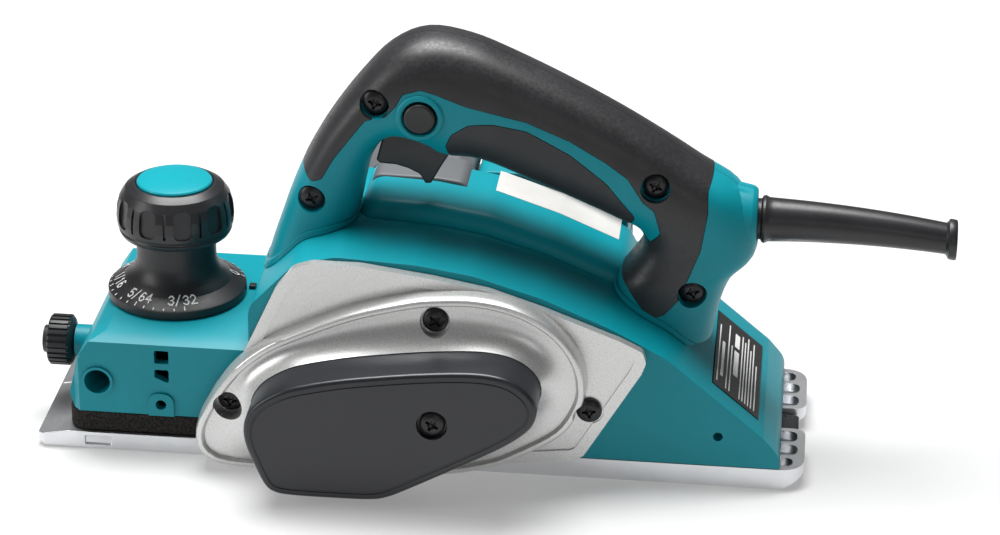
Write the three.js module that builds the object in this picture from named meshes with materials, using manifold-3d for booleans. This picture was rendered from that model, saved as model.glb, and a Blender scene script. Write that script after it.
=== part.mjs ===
// A hand-held electric planer: 82 mm cutter, poly-V belt drive on one side and a
// crosswise motor on the other, D-shaped handle, depth knob in front.
// Millimetres. +X runs to the rear, +Y to the motor side, +Z up. The origin is on
// the rear sole, on the centre line, half way along the 285 mm of the two bases.
import * as THREE from 'three';
import { mergeVertices } from 'three/addons/utils/BufferGeometryUtils.js';
import Module from 'manifold-3d';

const wasm = await Module();
wasm.setup();

// ---- driving dimensions ----
const gap = 0.3;                 // room left between pieces that touch
const halfLength = 142.5;        // base, front lip to rear end, from the middle
const halfWidth = 41;            // base and housing
const frontBaseTop = 6.5;
const rearBaseTop = 8;
const noseGrooveDepth = 3;       // V-groove under the front sole, for chamfering

const drumX = -30;               // cutter drum axis, along Y
const drumZ = 28;
const cuttingRadius = 28;        // blade tips, level with the rear sole
const drumRadius = 26;
const drumHalfLength = 40.5;
const motorX = 32;               // motor axis, along Y
const motorZ = 43;
const motorChamberRadius = 29.5;
const drivenPulleyRadius = 16.4;
const motorPulleyRadius = 7.8;
const beltThickness = 2;

const plateOuterY = -45;         // side plate face
const bulgeOuterY = -52.3;       // raised middle of the side plate
const coverOuterY = -75;         // belt cover face
const motorEndY = 83;            // motor end cap face
const housingJoinX = -62;        // front and main housings meet here

const knobX = -96;               // depth knob axis, along Z
const rodHoleX = -119;           // fence rod hole, along Y
const rodHoleZ = 27.7;
const rodHoleRadius = 4.85;
const clampY = -8;               // fence clamp screw axis, along X

const handleHalf = 18.5;         // handle, half its width
const handleWall = 4.5;
const rubberDepth = 2;           // rubber layer on the handle
const screwHeadRadius = 4.65;
const shankRadius = 2;
const guardZ = 89.7;             // cord guard axis where it leaves the handle

const footPivotX = 122;          // parking foot hinge, along Y
const footPivotZ = 4.2;
const brushY = 50;               // carbon brushes, along X
const plateScrews = [[-68.2, 26.4], [7.7, 65.6], [63.5, 30.2]];
const coverScrew = [9.5, 36];
const handleScrews = [[-18.7, 134], [-42, 95.3], [83.4, 107], [98.3, 65.6]];

// ---- materials ----
const teal = { color: 0x1f6f78, roughness: 0.5, metalness: 0 };
const silverPaint = { color: 0xa3a7aa, roughness: 0.4, metalness: 0.5 };
const aluminium = { color: 0xb9bbbc, roughness: 0.4, metalness: 0.9 };
const blackPlastic = { color: 0x1a1b1d, roughness: 0.45, metalness: 0 };
const blackRubber = { color: 0x202022, roughness: 0.85, metalness: 0 };
const greyPlastic = { color: 0x6d7073, roughness: 0.6, metalness: 0 };
const steel = { color: 0x8c8f92, roughness: 0.3, metalness: 1 };
const blackSteel = { color: 0x2a2b2d, roughness: 0.4, metalness: 0.8 };
const copper = { color: 0xb0683a, roughness: 0.35, metalness: 1 };
const carbon = { color: 0x29282a, roughness: 0.7, metalness: 0 };

const group = new THREE.Group();

// ---- solids: join, cut and place ----
function toSolid(geometry) {
  geometry.deleteAttribute('normal');
  geometry.deleteAttribute('uv');
  const merged = mergeVertices(geometry, 1e-4);
  const triangles = [];
  for (let i = 0; i < merged.index.count; i += 3) {
    const [a, b, c] = merged.index.array.slice(i, i + 3);
    if (a !== b && b !== c && c !== a) {
      triangles.push(a, b, c);
    }
  }
  const mesh = new wasm.Mesh({
    numProp: 3,
    vertProperties: merged.attributes.position.array,
    triVerts: new Uint32Array(triangles),
  });
  return new wasm.Manifold(mesh);
}

function toGeometry(solid) {
  const mesh = solid.getMesh();
  const geometry = new THREE.BufferGeometry();
  geometry.setAttribute('position', new THREE.BufferAttribute(mesh.vertProperties, 3));
  geometry.setIndex(new THREE.BufferAttribute(mesh.triVerts, 1));
  geometry.computeVertexNormals();
  return geometry;
}

function addPart(name, solid, look) {
  const part = new THREE.Mesh(toGeometry(solid), new THREE.MeshStandardMaterial(look));
  part.name = name;
  group.add(part);
}

function block(x0, x1, y0, y1, z0, z1) {
  const box = new THREE.BoxGeometry(x1 - x0, y1 - y0, z1 - z0);
  box.translate((x0 + x1) / 2, (y0 + y1) / 2, (z0 + z1) / 2);
  return toSolid(box);
}

function joinAll(solids) {
  return solids.reduce((joined, solid) => joined.add(solid));
}

function cutAll(solid, tools) {
  return tools.reduce((left, tool) => left.subtract(tool), solid);
}

// Corners [x, y, radius] turned into a polygon with rounded corners.
function rounded(corners, steps = 2) {
  const points = [];
  corners.forEach((corner, i) => {
    const at = new THREE.Vector2(corner[0], corner[1]);
    const radius = corner[2] || 0;
    if (!radius) {
      points.push(at);
      return;
    }
    const before = corners[(i + corners.length - 1) % corners.length];
    const after = corners[(i + 1) % corners.length];
    const toBefore = new THREE.Vector2(before[0], before[1]).sub(at);
    const toAfter = new THREE.Vector2(after[0], after[1]).sub(at);
    const room = 0.48 * Math.min(toBefore.length(), toAfter.length());
    toBefore.normalize();
    toAfter.normalize();
    const half = Math.acos(THREE.MathUtils.clamp(toBefore.dot(toAfter), -1, 1)) / 2;
    const cut = Math.min(radius / Math.tan(half), room);
    const start = at.clone().addScaledVector(toBefore, cut);
    const end = at.clone().addScaledVector(toAfter, cut);
    points.push(...new THREE.QuadraticBezierCurve(start, at, end).getPoints(steps));
  });
  return points;
}

// A closed smooth outline through hand-picked points.
function smooth(points, perPoint = 1) {
  const curve = new THREE.CatmullRomCurve3(
    points.map(([x, y]) => new THREE.Vector3(x, y, 0)), true, 'centripetal');
  const ring = curve.getPoints(points.length * perPoint).slice(0, -1);
  return ring.map((p) => new THREE.Vector2(p.x, p.y));
}

// An outline moved inwards by a distance (outwards if it is negative).
function inset(points, distance) {
  const side = THREE.ShapeUtils.isClockWise(points) ? -1 : 1;
  return points.map((point, i) => {
    const before = points[(i + points.length - 1) % points.length];
    const after = points[(i + 1) % points.length];
    const first = point.clone().sub(before).normalize();
    const second = after.clone().sub(point).normalize();
    const normal = new THREE.Vector2(-(first.y + second.y), first.x + second.x).normalize();
    const stretch = Math.max(0.5, Math.sqrt((1 + first.dot(second)) / 2));
    return point.clone().addScaledVector(normal, side * distance / stretch);
  });
}

// An XZ outline made solid from one Y to another, its end edges bevelled inwards.
function across(points, y0, y1, bevel = 0, bevelSegments = 2) {
  const geometry = new THREE.ExtrudeGeometry(new THREE.Shape(points), {
    depth: y1 - y0 - 2 * bevel,
    bevelEnabled: bevel > 0,
    bevelThickness: bevel,
    bevelSize: bevel,
    bevelOffset: -bevel,
    bevelSegments,
    curveSegments: 12,
  });
  geometry.rotateX(Math.PI / 2);
  geometry.translate(0, y1 - bevel, 0);
  return toSolid(geometry);
}

// An XY outline made solid from one height to another.
function upright(points, z0, z1) {
  const geometry = new THREE.ExtrudeGeometry(new THREE.Shape(points), {
    depth: z1 - z0, bevelEnabled: false,
  });
  geometry.translate(0, 0, z0);
  return toSolid(geometry);
}

// Turned shapes: profile points are [radius, place along the axis].
function turned(profile, axis, segments) {
  const closed = profile[0][0] > 0 ? [...profile, profile[0]] : profile;
  const geometry = new THREE.LatheGeometry(closed.map(([r, a]) => new THREE.Vector2(r, a)), segments);
  if (axis === 'z') {
    geometry.rotateX(Math.PI / 2);
  }
  if (axis === 'x') {
    geometry.rotateZ(-Math.PI / 2);
  }
  const solid = toSolid(geometry);
  return solid.volume() < 0 ? toSolid(flipped(geometry)) : solid;
}

function flipped(geometry) {
  const index = geometry.index.array;
  for (let i = 0; i < index.length; i += 3) {
    [index[i], index[i + 1]] = [index[i + 1], index[i]];
  }
  return geometry;
}

function turnedY(x, z, profile, segments = 24) {
  return turned(profile, 'y', segments).translate([x, 0, z]);
}

function rodY(x, z, radius, y0, y1, segments = 16) {
  return turnedY(x, z, [[0, y0], [radius, y0], [radius, y1], [0, y1]], segments);
}

function ringY(x, z, inner, outer, y0, y1, segments = 20) {
  return turnedY(x, z, [[inner, y0], [outer, y0], [outer, y1], [inner, y1]], segments);
}

function turnedZ(x, y, profile, segments = 24) {
  return turned(profile, 'z', segments).translate([x, y, 0]);
}

function rodZ(x, y, radius, z0, z1, segments = 16) {
  return turnedZ(x, y, [[0, z0], [radius, z0], [radius, z1], [0, z1]], segments);
}

function turnedX(y, z, profile, segments = 24) {
  return turned(profile, 'x', segments).translate([0, y, z]);
}

function rodX(y, z, radius, x0, x1, segments = 16) {
  return turnedX(y, z, [[0, x0], [radius, x0], [radius, x1], [0, x1]], segments);
}

// ---- bases ----
function frontBase() {
  const mouthTop = drumX - 22.5;
  const mouthSole = drumX - 13.5;
  const profile = [[-halfLength, 1.5], [-halfLength, 4.8], [-131, frontBaseTop], [mouthTop, frontBaseTop],
    [mouthSole, 0], [-139.5, 0]];
  const plate = across(profile.map(([x, z]) => new THREE.Vector2(x, z)), -halfWidth, halfWidth);
  const grooveSide = 4;
  const groove = across(
    [new THREE.Vector2(-grooveSide, -0.1), new THREE.Vector2(grooveSide, -0.1),
      new THREE.Vector2(0, noseGrooveDepth)], 0, 80).rotate([0, 0, 90]).translate([-65, 0, 0]);
  const sideRecess = block(-124.5, -114.5, -halfWidth - 1, -halfWidth + 1, 1.5, 5);
  const screwBoss = rodZ(knobX, 0, 8, frontBaseTop - 0.5, 25, 20);
  const screwHole = rodZ(knobX, 0, 4.4, 6, 26, 16);
  return cutAll(plate.add(screwBoss), [groove, sideRecess, screwHole]);
}

function rearBase() {
  const profile = [[drumX + 8, 0], [drumX + 21.5, rearBaseTop], [halfLength, rearBaseTop], [halfLength, 4],
    [135, 0]];
  const plate = across(profile.map(([x, z]) => new THREE.Vector2(x, z)), -halfWidth, halfWidth);
  const footNotch = block(footPivotX - 7, halfLength + 1, -8, 8, -1, rearBaseTop + 1);
  const corners = [-1, 1].map((side) => upright(
    [[halfLength - 5, side * (halfWidth + 1)], [halfLength + 1, side * (halfWidth + 1)],
      [halfLength + 1, side * (halfWidth - 5)]].map(([x, y]) => new THREE.Vector2(x, y)), -1, 9));
  const pockets = [];
  for (const side of [-1, 1]) {
    for (const [near, far] of [[10.5, 19], [21, 31], [33, 38]]) {
      const front = far > 35 ? 124 : 120;
      const back = far > 35 ? 136 : 140;
      pockets.push(block(front, back, Math.min(side * near, side * far), Math.max(side * near, side * far),
        4.8, rearBaseTop + 1));
    }
  }
  const pinHoles = rodY(footPivotX, footPivotZ, 1.7, -13, 13, 12);
  return cutAll(plate, [footNotch, ...corners, ...pockets, pinHoles]);
}

function dustSeal() {
  const bottom = frontBaseTop + gap;
  const outer = upright(rounded([[-131, -39.5, 8], [-64, -39.5], [-64, 39.5], [-131, 39.5, 8]]), bottom, 14.7);
  const inner = upright(rounded([[-126, -35, 5], [-60, -35], [-60, 35], [-126, 35, 5]]), bottom - 1, 16);
  return outer.subtract(inner);
}

// ---- front housing ----
function frontHousing() {
  const rear = housingJoinX - gap;
  const shell = across(rounded([[-128.6, 15], [-130.3, 21, 4], [-126.5, 37.1, 4], [-121.7, 44, 4],
    [-117, 46.7, 4], [rear, 46.7], [rear, 15]], 2), -halfWidth, halfWidth, 2);
  const hollow = block(-125, rear - 3, -37.5, 37.5, 14, 43);
  const rodTube = block(-127, -112, -halfWidth + 1, halfWidth - 1, 20.5, 36);
  const clampBoss = rodX(clampY, rodHoleZ, 8, -133.7, -120, 20);
  const topRing = rodZ(knobX, 0, 9, 41, 45, 20);
  const nose = across(rounded([[-128.6, 15], [-130.3, 21, 3], [-126.5, 37.1, 2], [-121.7, 44, 3],
    [-110, 44], [-110, 15]], 2), -halfWidth + 2, halfWidth - 2);
  const shelled = shell.subtract(hollow).add(rodTube.intersect(nose)).add(clampBoss).add(topRing);
  const rodHole = rodY(rodHoleX, rodHoleZ, rodHoleRadius, -50, 50, 20);
  const clampHole = rodX(clampY, rodHoleZ, 3.3, -140, rodHoleX, 14);
  const knobHole = rodZ(knobX, 0, 4.4, 38, 50, 16);
  const window1 = block(-97.3, -91.9, -50, -36, 36.7, 42);
  const window2 = block(-97.4, -92, -50, -36, 29.5, 34.2);
  const screwHole = rodY(-68.2, 26.4, shankRadius + gap, -50, -38, 12);
  return cutAll(shelled, [rodHole, clampHole, knobHole, window1, window2, screwHole]);
}

// ---- main housing, with the drum, chip and motor chambers ----
const bodyTop = [[housingJoinX, 64, 5], [-45, 80, 10], [-30, 84, 12], [0, 82.5, 20], [20, 79.5, 20],
  [45, 72, 20], [70, 61.5, 20], [90, 51, 20], [107, 37, 5], [127, 20.5], [133.5, 15.1]];

const raisedTop = [[-29, 79], [-24, 90, 6], [0, 89, 20], [22, 85.5, 20], [46, 77.5, 20], [72, 66.5, 6],
  [78, 55], [60, 20], [-29, 20]];   // the higher back of the body, towards the motor
const raisedFromY = -4;

function mainHousing() {
  const bottom = rearBaseTop + gap;
  const body = across(rounded([...bodyTop, [133.5, bottom], [-8, bottom], [-50, 12], [housingJoinX, 12]], 2),
    -halfWidth, halfWidth, 4, 1);
  const handleClearance = across(inset(handleOutline, -0.8), -handleHalf - 0.8, handleHalf + 0.8);
  const raisedBack = across(rounded(raisedTop, 2), raisedFromY, halfWidth, 4, 1).subtract(handleClearance);
  const shell = body.add(raisedBack);
  const drumChamber = rodY(drumX, drumZ, 29.8, -50, 50, 28);
  const chipDuct = block(-28, -1, -22, 50, 50, 77);
  const motorChamber = rodY(motorX, motorZ, motorChamberRadius, -37, 50, 28);
  const nearShaftHole = rodY(motorX, motorZ, 14, -50, -30, 24);
  const rearHollow = across(rounded([[67, 6], [67, 56, 4], [88, 45, 6], [104, 32, 6], [122, 16, 3], [122, 6]], 2),
    -36, 36);
  const screwHoles = [[7.7, 65.6], [63.5, 30.2]].map(([x, z]) => rodY(x, z, shankRadius + gap, -50, -38, 12));
  const sideHole = rodY(110.5, 20.2, 1.8, -50, -30, 12);
  const labelRecess = onRearSlope(23, 60.6, -0.6, 3);
  return cutAll(shell, [drumChamber, chipDuct, motorChamber, nearShaftHole, rearHollow, ...screwHoles,
    sideHole, labelRecess]);
}

// A flat box lying on the rear slope: its length down the slope, width, bottom and top.
function onRearSlope(length, width, from, to) {
  const slope = Math.atan2(37 - 20.5, 127 - 107);
  const slab = block(-length / 2, length / 2, -width / 2, width / 2, from, to);
  return slab.rotate([0, THREE.MathUtils.radToDeg(slope), 0]).translate([116, 0, 37 - 9 * Math.tan(slope)]);
}

// ---- motor side ----
const motorOutline = rounded([[16, 10, 5], [66, 10, 6], [71, 15, 6], [71, 84.5, 6], [12.5, 84.5, 6],
  [12.5, 73, 2], [-3, 55, 6], [-3, 30, 8]], 2);

function motorHousing() {
  const shell = across(motorOutline, halfWidth + gap, 72);
  const hollow = rodY(motorX, motorZ, motorChamberRadius, 30, 80, 28);
  const upperHollow = across(rounded([[18, 62, 3], [67, 50, 3], [67, 80, 3], [18, 80, 3]], 2), 44, 80);
  const brushHoles = rodX(brushY, motorZ, 6.4, -10, 80, 16);
  return cutAll(shell, [hollow, upperHollow, brushHoles]);
}

function motorEndCap() {
  const shell = across(motorOutline, 72.3, motorEndY, 0).intersect(across(motorOutline, 60, motorEndY, 4, 1));
  const hollow = across(inset(motorOutline, 3.5), 71, motorEndY - 4);
  const bearingCup = ringY(motorX, motorZ, 9.3, 12.5, 65.7, motorEndY - 3);
  const slots = [];
  const slotCount = 6;
  for (let i = 0; i < slotCount; i += 1) {
    const z = motorZ - 20 + i * 8;
    slots.push(block(48, 64, 70, 90, z, z + 3.5));
  }
  return cutAll(shell.subtract(hollow).add(bearingCup), slots);
}

function chipChute() {
  const outline = rounded([[-31, 58, 3], [-3, 58, 2], [11, 75, 2], [11, 82, 3], [5, 86, 3], [-25, 86, 4],
    [-31, 80, 4]], 2);
  const shell = across(outline, halfWidth + gap, motorEndY);
  return shell.subtract(across(inset(outline, 2.2), 30, 90));
}

function drumBearingCover() {
  const outline = [];
  const coverRadius = 31;
  for (let i = 0; i < 24; i += 1) {
    const angle = (i / 24) * 2 * Math.PI;
    outline.push(new THREE.Vector2(drumX + coverRadius * Math.cos(angle),
      Math.max(3, drumZ + coverRadius * Math.sin(angle))));
  }
  const plate = across(outline, halfWidth + gap, 44.5);
  const clearOfMotor = block(-4, 10, 30, 60, 0, 90);
  const clearOfChute = block(-70, 10, 30, 60, 57.5, 90);
  const hub = rodY(drumX, drumZ, 14.5, 44, 50.5, 24);
  const seat = rodY(drumX, drumZ, 11.3, 40, 48.7, 24);
  return cutAll(plate.add(hub), [seat, clearOfMotor, clearOfChute]);
}

// ---- belt side ----
function sidePlate() {
  const outline = rounded([[-81, 14, 3], [-79, 21.4, 8], [-73.5, 32.2, 8], [-66, 39.1, 4], [-51, 72.4, 5],
    [-44.8, 80.6, 5], [-39.1, 82.7, 4], [-20.3, 82.7, 10], [6, 79.3, 10], [26.3, 75.6, 10], [46.6, 69, 10],
    [73.9, 58.4, 4], [82.7, 54.3, 3], [83.4, 50.9, 3], [82, 46.3, 3], [61.6, 10.4, 3], [53.4, 8.6, 3],
    [21.9, 4.8], [0, 3], [-60, 3, 4], [-76, 7, 4]], 2);
  const plate = across(outline, plateOuterY, -halfWidth - gap);
  const bulge = across(rounded([[-66, 3, 5], [-78, 4, 5], [-80.2, 13.6, 6], [-78.9, 20.3, 6], [-65, 42.6, 12],
    [-44, 57.1, 14], [-23.5, 66.3, 14], [7, 74, 16], [22.2, 74.8, 12], [37.3, 71.8, 10], [50.6, 64.3, 10],
    [59, 53.5, 8], [61.8, 42.4, 6], [60.4, 34, 6], [53.5, 22.3, 6], [28, 8, 8], [0, 3]], 2),
  bulgeOuterY, plateOuterY + 1, 2, 1);
  const seats = [[drumX, drumZ, 13.3], [motorX, motorZ, 13.3]].map(([x, z, r]) => rodY(x, z, r, -50, -40, 24));
  const shaftHoles = [[drumX, drumZ, 8], [motorX, motorZ, 8]].map(([x, z, r]) => rodY(x, z, r, -60, -40, 20));
  const screwHoles = plateScrews.map(([x, z]) => rodY(x, z, shankRadius + gap, -60, -40, 12));
  const headSeats = plateScrews.map(([x, z]) => rodY(x, z, screwHeadRadius + 1, -60, plateOuterY + 0.5, 14));
  const coverScrewHole = rodY(coverScrew[0], coverScrew[1], shankRadius + gap, -60, -47, 12);
  return cutAll(plate.add(bulge), [...seats, ...shaftHoles, ...screwHoles, ...headSeats, coverScrewHole]);
}

function beltCover() {
  const outline = rounded([[-58.6, 28.9, 8], [-57.5, 34.6, 8], [-53.8, 40, 8], [-40.6, 47.6, 14],
    [-10.4, 53.9, 20], [19.6, 57.3, 12], [33, 56.5, 10], [43.6, 51, 8], [47, 44, 7], [42.8, 34.6, 6],
    [19.9, 20.5, 14], [-11, 3.4, 5], [-48.3, 3.4, 6], [-53, 9, 4]]);
  const shell = across(outline, coverOuterY, bulgeOuterY - gap, 2.2, 1);
  const back = across(outline, -60, bulgeOuterY - gap);
  const hollow = across(inset(outline, 2.2), coverOuterY + 2.4, -50);
  const boss = rodY(coverScrew[0], coverScrew[1], 6, coverOuterY + 1, bulgeOuterY - gap, 16);
  const headSeat = rodY(coverScrew[0], coverScrew[1], screwHeadRadius + 0.6, -80, coverOuterY + 2.6, 16);
  const shankHole = rodY(coverScrew[0], coverScrew[1], shankRadius + gap, -80, -50, 12);
  return cutAll(shell.add(back).subtract(hollow).add(boss), [headSeat, shankHole]);
}

// The outline of a belt run round both pulleys.
function beltOutline(drivenRadius, motorRadius) {
  const distance = Math.hypot(motorX - drumX, motorZ - drumZ);
  const lean = Math.atan2(motorZ - drumZ, motorX - drumX);
  const contact = Math.acos((drivenRadius - motorRadius) / distance);
  const shape = new THREE.Path();
  shape.absarc(drumX, drumZ, drivenRadius, lean + contact, lean + 2 * Math.PI - contact, false);
  shape.absarc(motorX, motorZ, motorRadius, lean - contact, lean + contact, false);
  return shape.getPoints(8).slice(0, -1);
}

function driveBelt() {
  const clear = gap;
  const outer = across(beltOutline(drivenPulleyRadius + clear + beltThickness,
    motorPulleyRadius + clear + beltThickness), -68, -57);
  return outer.subtract(across(beltOutline(drivenPulleyRadius + clear, motorPulleyRadius + clear), -70, -50));
}

function pulley(x, z, radius, bore) {
  return turnedY(x, z, [[bore, -70], [radius, -70], [radius, -55], [bore, -55]], 24);
}

// ---- cutter drum ----
function drum() {
  const shaftRadius = 6;
  const body = turnedY(0, 0, [[0, -71], [shaftRadius, -71], [shaftRadius, -drumHalfLength],
    [drumRadius, -drumHalfLength], [drumRadius, drumHalfLength], [shaftRadius, drumHalfLength],
    [shaftRadius, 48], [0, 48]], 24);
  const slot = block(14, 30, -50, 50, -4.2, 2.2);
  return body.subtract(slot).subtract(slot.rotate([0, 180, 0])).translate([drumX, 0, drumZ]);
}

function blade(turn) {
  const bladeThickness = 1.2;
  return block(15, cuttingRadius, -drumHalfLength + 0.5, drumHalfLength - 0.5, 0.6, 0.6 + bladeThickness)
    .rotate([0, turn, 0]).translate([drumX, 0, drumZ]);
}

function bladeClamp(turn) {
  return block(14.5, 25.4, -drumHalfLength + 0.5, drumHalfLength - 0.5, -3.8, gap)
    .rotate([0, turn, 0]).translate([drumX, 0, drumZ]);
}

// ---- motor ----
function armatureShaft() {
  return turnedY(motorX, motorZ, [[0, -71], [4, -71], [4, 71.5], [0, 71.5]], 16);
}

function armatureCore() {
  const shape = [];
  const slotCount = 12;
  for (let i = 0; i < slotCount; i += 1) {
    const angle = (i / slotCount) * 2 * Math.PI;
    for (const [turn, radius] of [[0.03, 17], [0.2, 17.2], [0.36, 17.2], [0.49, 17], [0.49, 12], [0.03, 12]]) {
      shape.push(new THREE.Vector2(motorX + radius * Math.cos(angle + turn),
        motorZ + radius * Math.sin(angle + turn)));
    }
  }
  return across(shape, -10, 30).subtract(rodY(motorX, motorZ, 4.3, -20, 40, 16));
}

function commutator() {
  return ringY(motorX, motorZ, 4.3, 11, 43, 57);
}

function coolingFan() {
  const disc = ringY(motorX, motorZ, 4.3, 26, -22, -20);
  const hub = ringY(motorX, motorZ, 4.3, 8, -30, -21, 16);
  const bladeCount = 10;
  const vanes = [];
  for (let i = 0; i < bladeCount; i += 1) {
    vanes.push(block(7, 25, -30, -21, -0.8, 0.8).rotate([0, (i * 360) / bladeCount, 0])
      .translate([motorX, 0, motorZ]));
  }
  return joinAll([disc, hub, ...vanes]);
}

function stator() {
  const body = rodY(motorX, motorZ, 27.5, -8, 34, 28);
  const bore = rodY(motorX, motorZ, 18, -20, 60, 28);
  const coilSpace = [-1, 1].map((side) => block(motorX - 12, motorX + 12, -20, 60,
    motorZ + side * 20 - 3.5, motorZ + side * 20 + 3.5));
  return cutAll(body, [bore, ...coilSpace]);
}

function brushHolder(side) {
  const tube = block(12.5, 28, brushY - 5, brushY + 5, -4.5, 4.5);
  const channel = block(10, 30, brushY - 3.4, brushY + 3.4, -2.9, 2.9);
  return tube.subtract(channel).rotate([0, side > 0 ? 0 : 180, 0]).translate([motorX, 0, motorZ]);
}

function carbonBrush(side) {
  return block(11.4, 24, brushY - 3, brushY + 3, -2.5, 2.5)
    .rotate([0, side > 0 ? 0 : 180, 0]).translate([motorX, 0, motorZ]);
}

function brushCap(side) {
  const from = side > 0 ? 66 : -2.8;
  const to = side > 0 ? 70.5 : 0.8;
  const driverSlot = block(side > 0 ? 69.3 : -4, side > 0 ? 72 : -1.8, brushY - 0.8, brushY + 0.8, 30, 50);
  return rodX(brushY, motorZ, 6, from, to, 18).subtract(driverSlot);
}

function bearing(x, z, inner, outer, y0, y1) {
  return ringY(x, z, inner, outer, y0, y1, 16);
}

// ---- handle ----
const handleOutline = smooth([[-62, 58], [-60.6, 65.2], [-56.5, 79.8], [-50.8, 96.5], [-44.9, 109.6],
  [-37.4, 122.8], [-29.9, 133.8], [-22.5, 142.8], [-15.2, 150.6], [-7.9, 155.3], [-0.7, 157.2], [6.6, 156.8],
  [13.9, 154.9], [39.4, 144.6], [68.8, 129.8], [98.5, 111.8], [106, 105.5], [113.4, 102.6], [118, 100.5],
  [119.6, 92.4], [121.2, 82], [119.5, 77], [114.6, 71.6], [110.4, 65.4], [107.3, 53.2], [104, 42], [84, 40],
  [68, 48], [69, 62], [73.2, 70], [77.9, 77.4], [79.1, 82.5], [75, 88], [60, 94], [40, 102.2], [19, 110.4],
  [5.5, 111], [-5, 114.5], [-14, 118.8], [-19, 114], [-22, 107], [-24.5, 96], [-27, 85.1], [-30.5, 76],
  [-34, 62], [-48, 52]]);
const topRegion = rounded([[-75, 111], [-45.7, 105.8], [-42, 102.3, 2], [-38.2, 103.8, 2], [-33.7, 112.1],
  [-27.6, 120.5], [-22, 128, 3], [-15, 129.5, 3], [-11, 134, 3], [-8.4, 139, 3], [-1.8, 141, 3], [3.4, 139.6, 3],
  [14.4, 135.5], [36.3, 130.4, 10], [52.2, 123.7], [65.4, 116], [73.4, 110.2, 4], [79, 101.5, 4], [83.4, 98, 2],
  [85.8, 89, 2], [82, 84], [76, 88], [70, 82], [66, 72], [74.5, 65.5], [83, 55.5, 3], [88, 57, 3],
  [93.4, 63.6, 6], [100.5, 83.6, 10], [102.6, 98.1, 6], [102.3, 105.8, 4], [106, 113], [106, 165], [-75, 165]], 1);
const insertRegion = rounded([[9, 112.5, 2], [7.1, 119, 3], [9.3, 124.1, 3], [15.4, 128.3, 4], [24.1, 129, 6],
  [36.4, 127, 10], [52.3, 118.5, 8], [65.6, 108, 8], [76.5, 94.5, 3], [72, 91], [60, 96.5], [40, 104.5],
  [19, 111.8]], 1);

const triggerPivot = [-14, 119];
const triggerTravel = 9;        // degrees
const triggerOutline = rounded([[-16, 121.5, 2], [8, 123, 2], [7.5, 112], [5.2, 108.7], [0.8, 100],
  [-1.5, 100.2], [-6.8, 104.8, 3], [-12, 107, 2], [-18, 107], [-19.5, 108.2]], 2);
const lockButtonAt = [-2.1, 130.3];

function bodyClearance() {
  const raised = [...bodyTop.slice(0, 10).map(([x, z]) => new THREE.Vector2(x, z + 0.8)),
    new THREE.Vector2(140, 0), new THREE.Vector2(-66, 0), new THREE.Vector2(-66, 62)];
  return across(raised, -60, 60);
}

function onlySide(side) {
  return side < 0 ? block(-90, 140, -40, -gap / 2, 0, 170) : block(-90, 140, gap / 2, 40, 0, 170);
}

const handleBevel = 4;
const rubberBevel = 2;
const handleSolid = across(handleOutline, -handleHalf, handleHalf, handleBevel, 1).subtract(bodyClearance());
const underRubber = across(inset(handleOutline, rubberDepth + gap), -handleHalf + rubberDepth + gap,
  handleHalf - rubberDepth - gap, rubberBevel, 1);
const rubberLayer = handleSolid.subtract(
  across(inset(handleOutline, rubberDepth), -handleHalf + rubberDepth, handleHalf - rubberDepth, rubberBevel, 1));

function triggerRoom() {
  const swept = [0, 0.5, 1].map((part) => across(inset(triggerOutline, -0.6), -8.8, 8.8)
    .translate([-triggerPivot[0], 0, -triggerPivot[1]])
    .rotate([0, -triggerTravel * part, 0])
    .translate([triggerPivot[0], 0, triggerPivot[1]]));
  return joinAll(swept);
}

function guardRoom() {
  return turnedX(0, guardZ, [[0, 105], [10.8, 105], [10.8, 115], [8, 115], [8, 130], [0, 130]], 20);
}

function handleHalfShell(side) {
  const hollow = across(inset(handleOutline, handleWall), -handleHalf + handleWall, handleHalf - handleWall);
  const rubberRoom = across(inset(topRegion, -gap), -30, 30).add(across(inset(insertRegion, -gap), -30, 30));
  const core = handleSolid.subtract(rubberRoom.subtract(underRubber));
  const bosses = handleScrews.map(([x, z]) => rodY(x, z, 5.5, -handleHalf + 3, handleHalf - 3, 14));
  const shell = core.subtract(hollow).add(joinAll(bosses).intersect(core));
  const cuts = handleScrews.map(([x, z]) => (side < 0
    ? turnedY(x, z, [[0, -30], [screwHeadRadius + 0.4, -30], [screwHeadRadius + 0.4, -13.8],
      [shankRadius + gap, -13.8], [shankRadius + gap, 5], [0, 5]], 14)
    : rodY(x, z, shankRadius + gap, -5, 10.5, 12)));
  cuts.push(triggerRoom(), guardRoom());
  cuts.push(rodY(lockButtonAt[0], lockButtonAt[1], 6.2, -30, -5, 20));
  return cutAll(shell.intersect(onlySide(side)), cuts);
}

function gripTop(side) {
  const cuts = [...handleScrews.map(([x, z]) => rodY(x, z, 6.2, -30, 30, 14)), triggerRoom()];
  cuts.push(rodY(lockButtonAt[0], lockButtonAt[1], 6.9, -30, 30, 16), guardRoom());
  return cutAll(rubberLayer.intersect(across(topRegion, -30, 30)).intersect(onlySide(side)), cuts);
}

function gripInsert(side) {
  return rubberLayer.intersect(across(insertRegion, -30, 30)).intersect(onlySide(side));
}

function trigger() {
  return across(triggerOutline, -8, 8, 1, 1);
}

function lockButton() {
  return turnedY(lockButtonAt[0], lockButtonAt[1], [[0, -20.5], [4.8, -20.5], [5.7, -19.7], [5.7, -9],
    [0, -9]], 20);
}

function switchBody() {
  return across(rounded([[12, 118, 1], [12, 141, 1], [40, 137, 1], [44, 118, 1]], 1), -8.5, 8.5);
}

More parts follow.
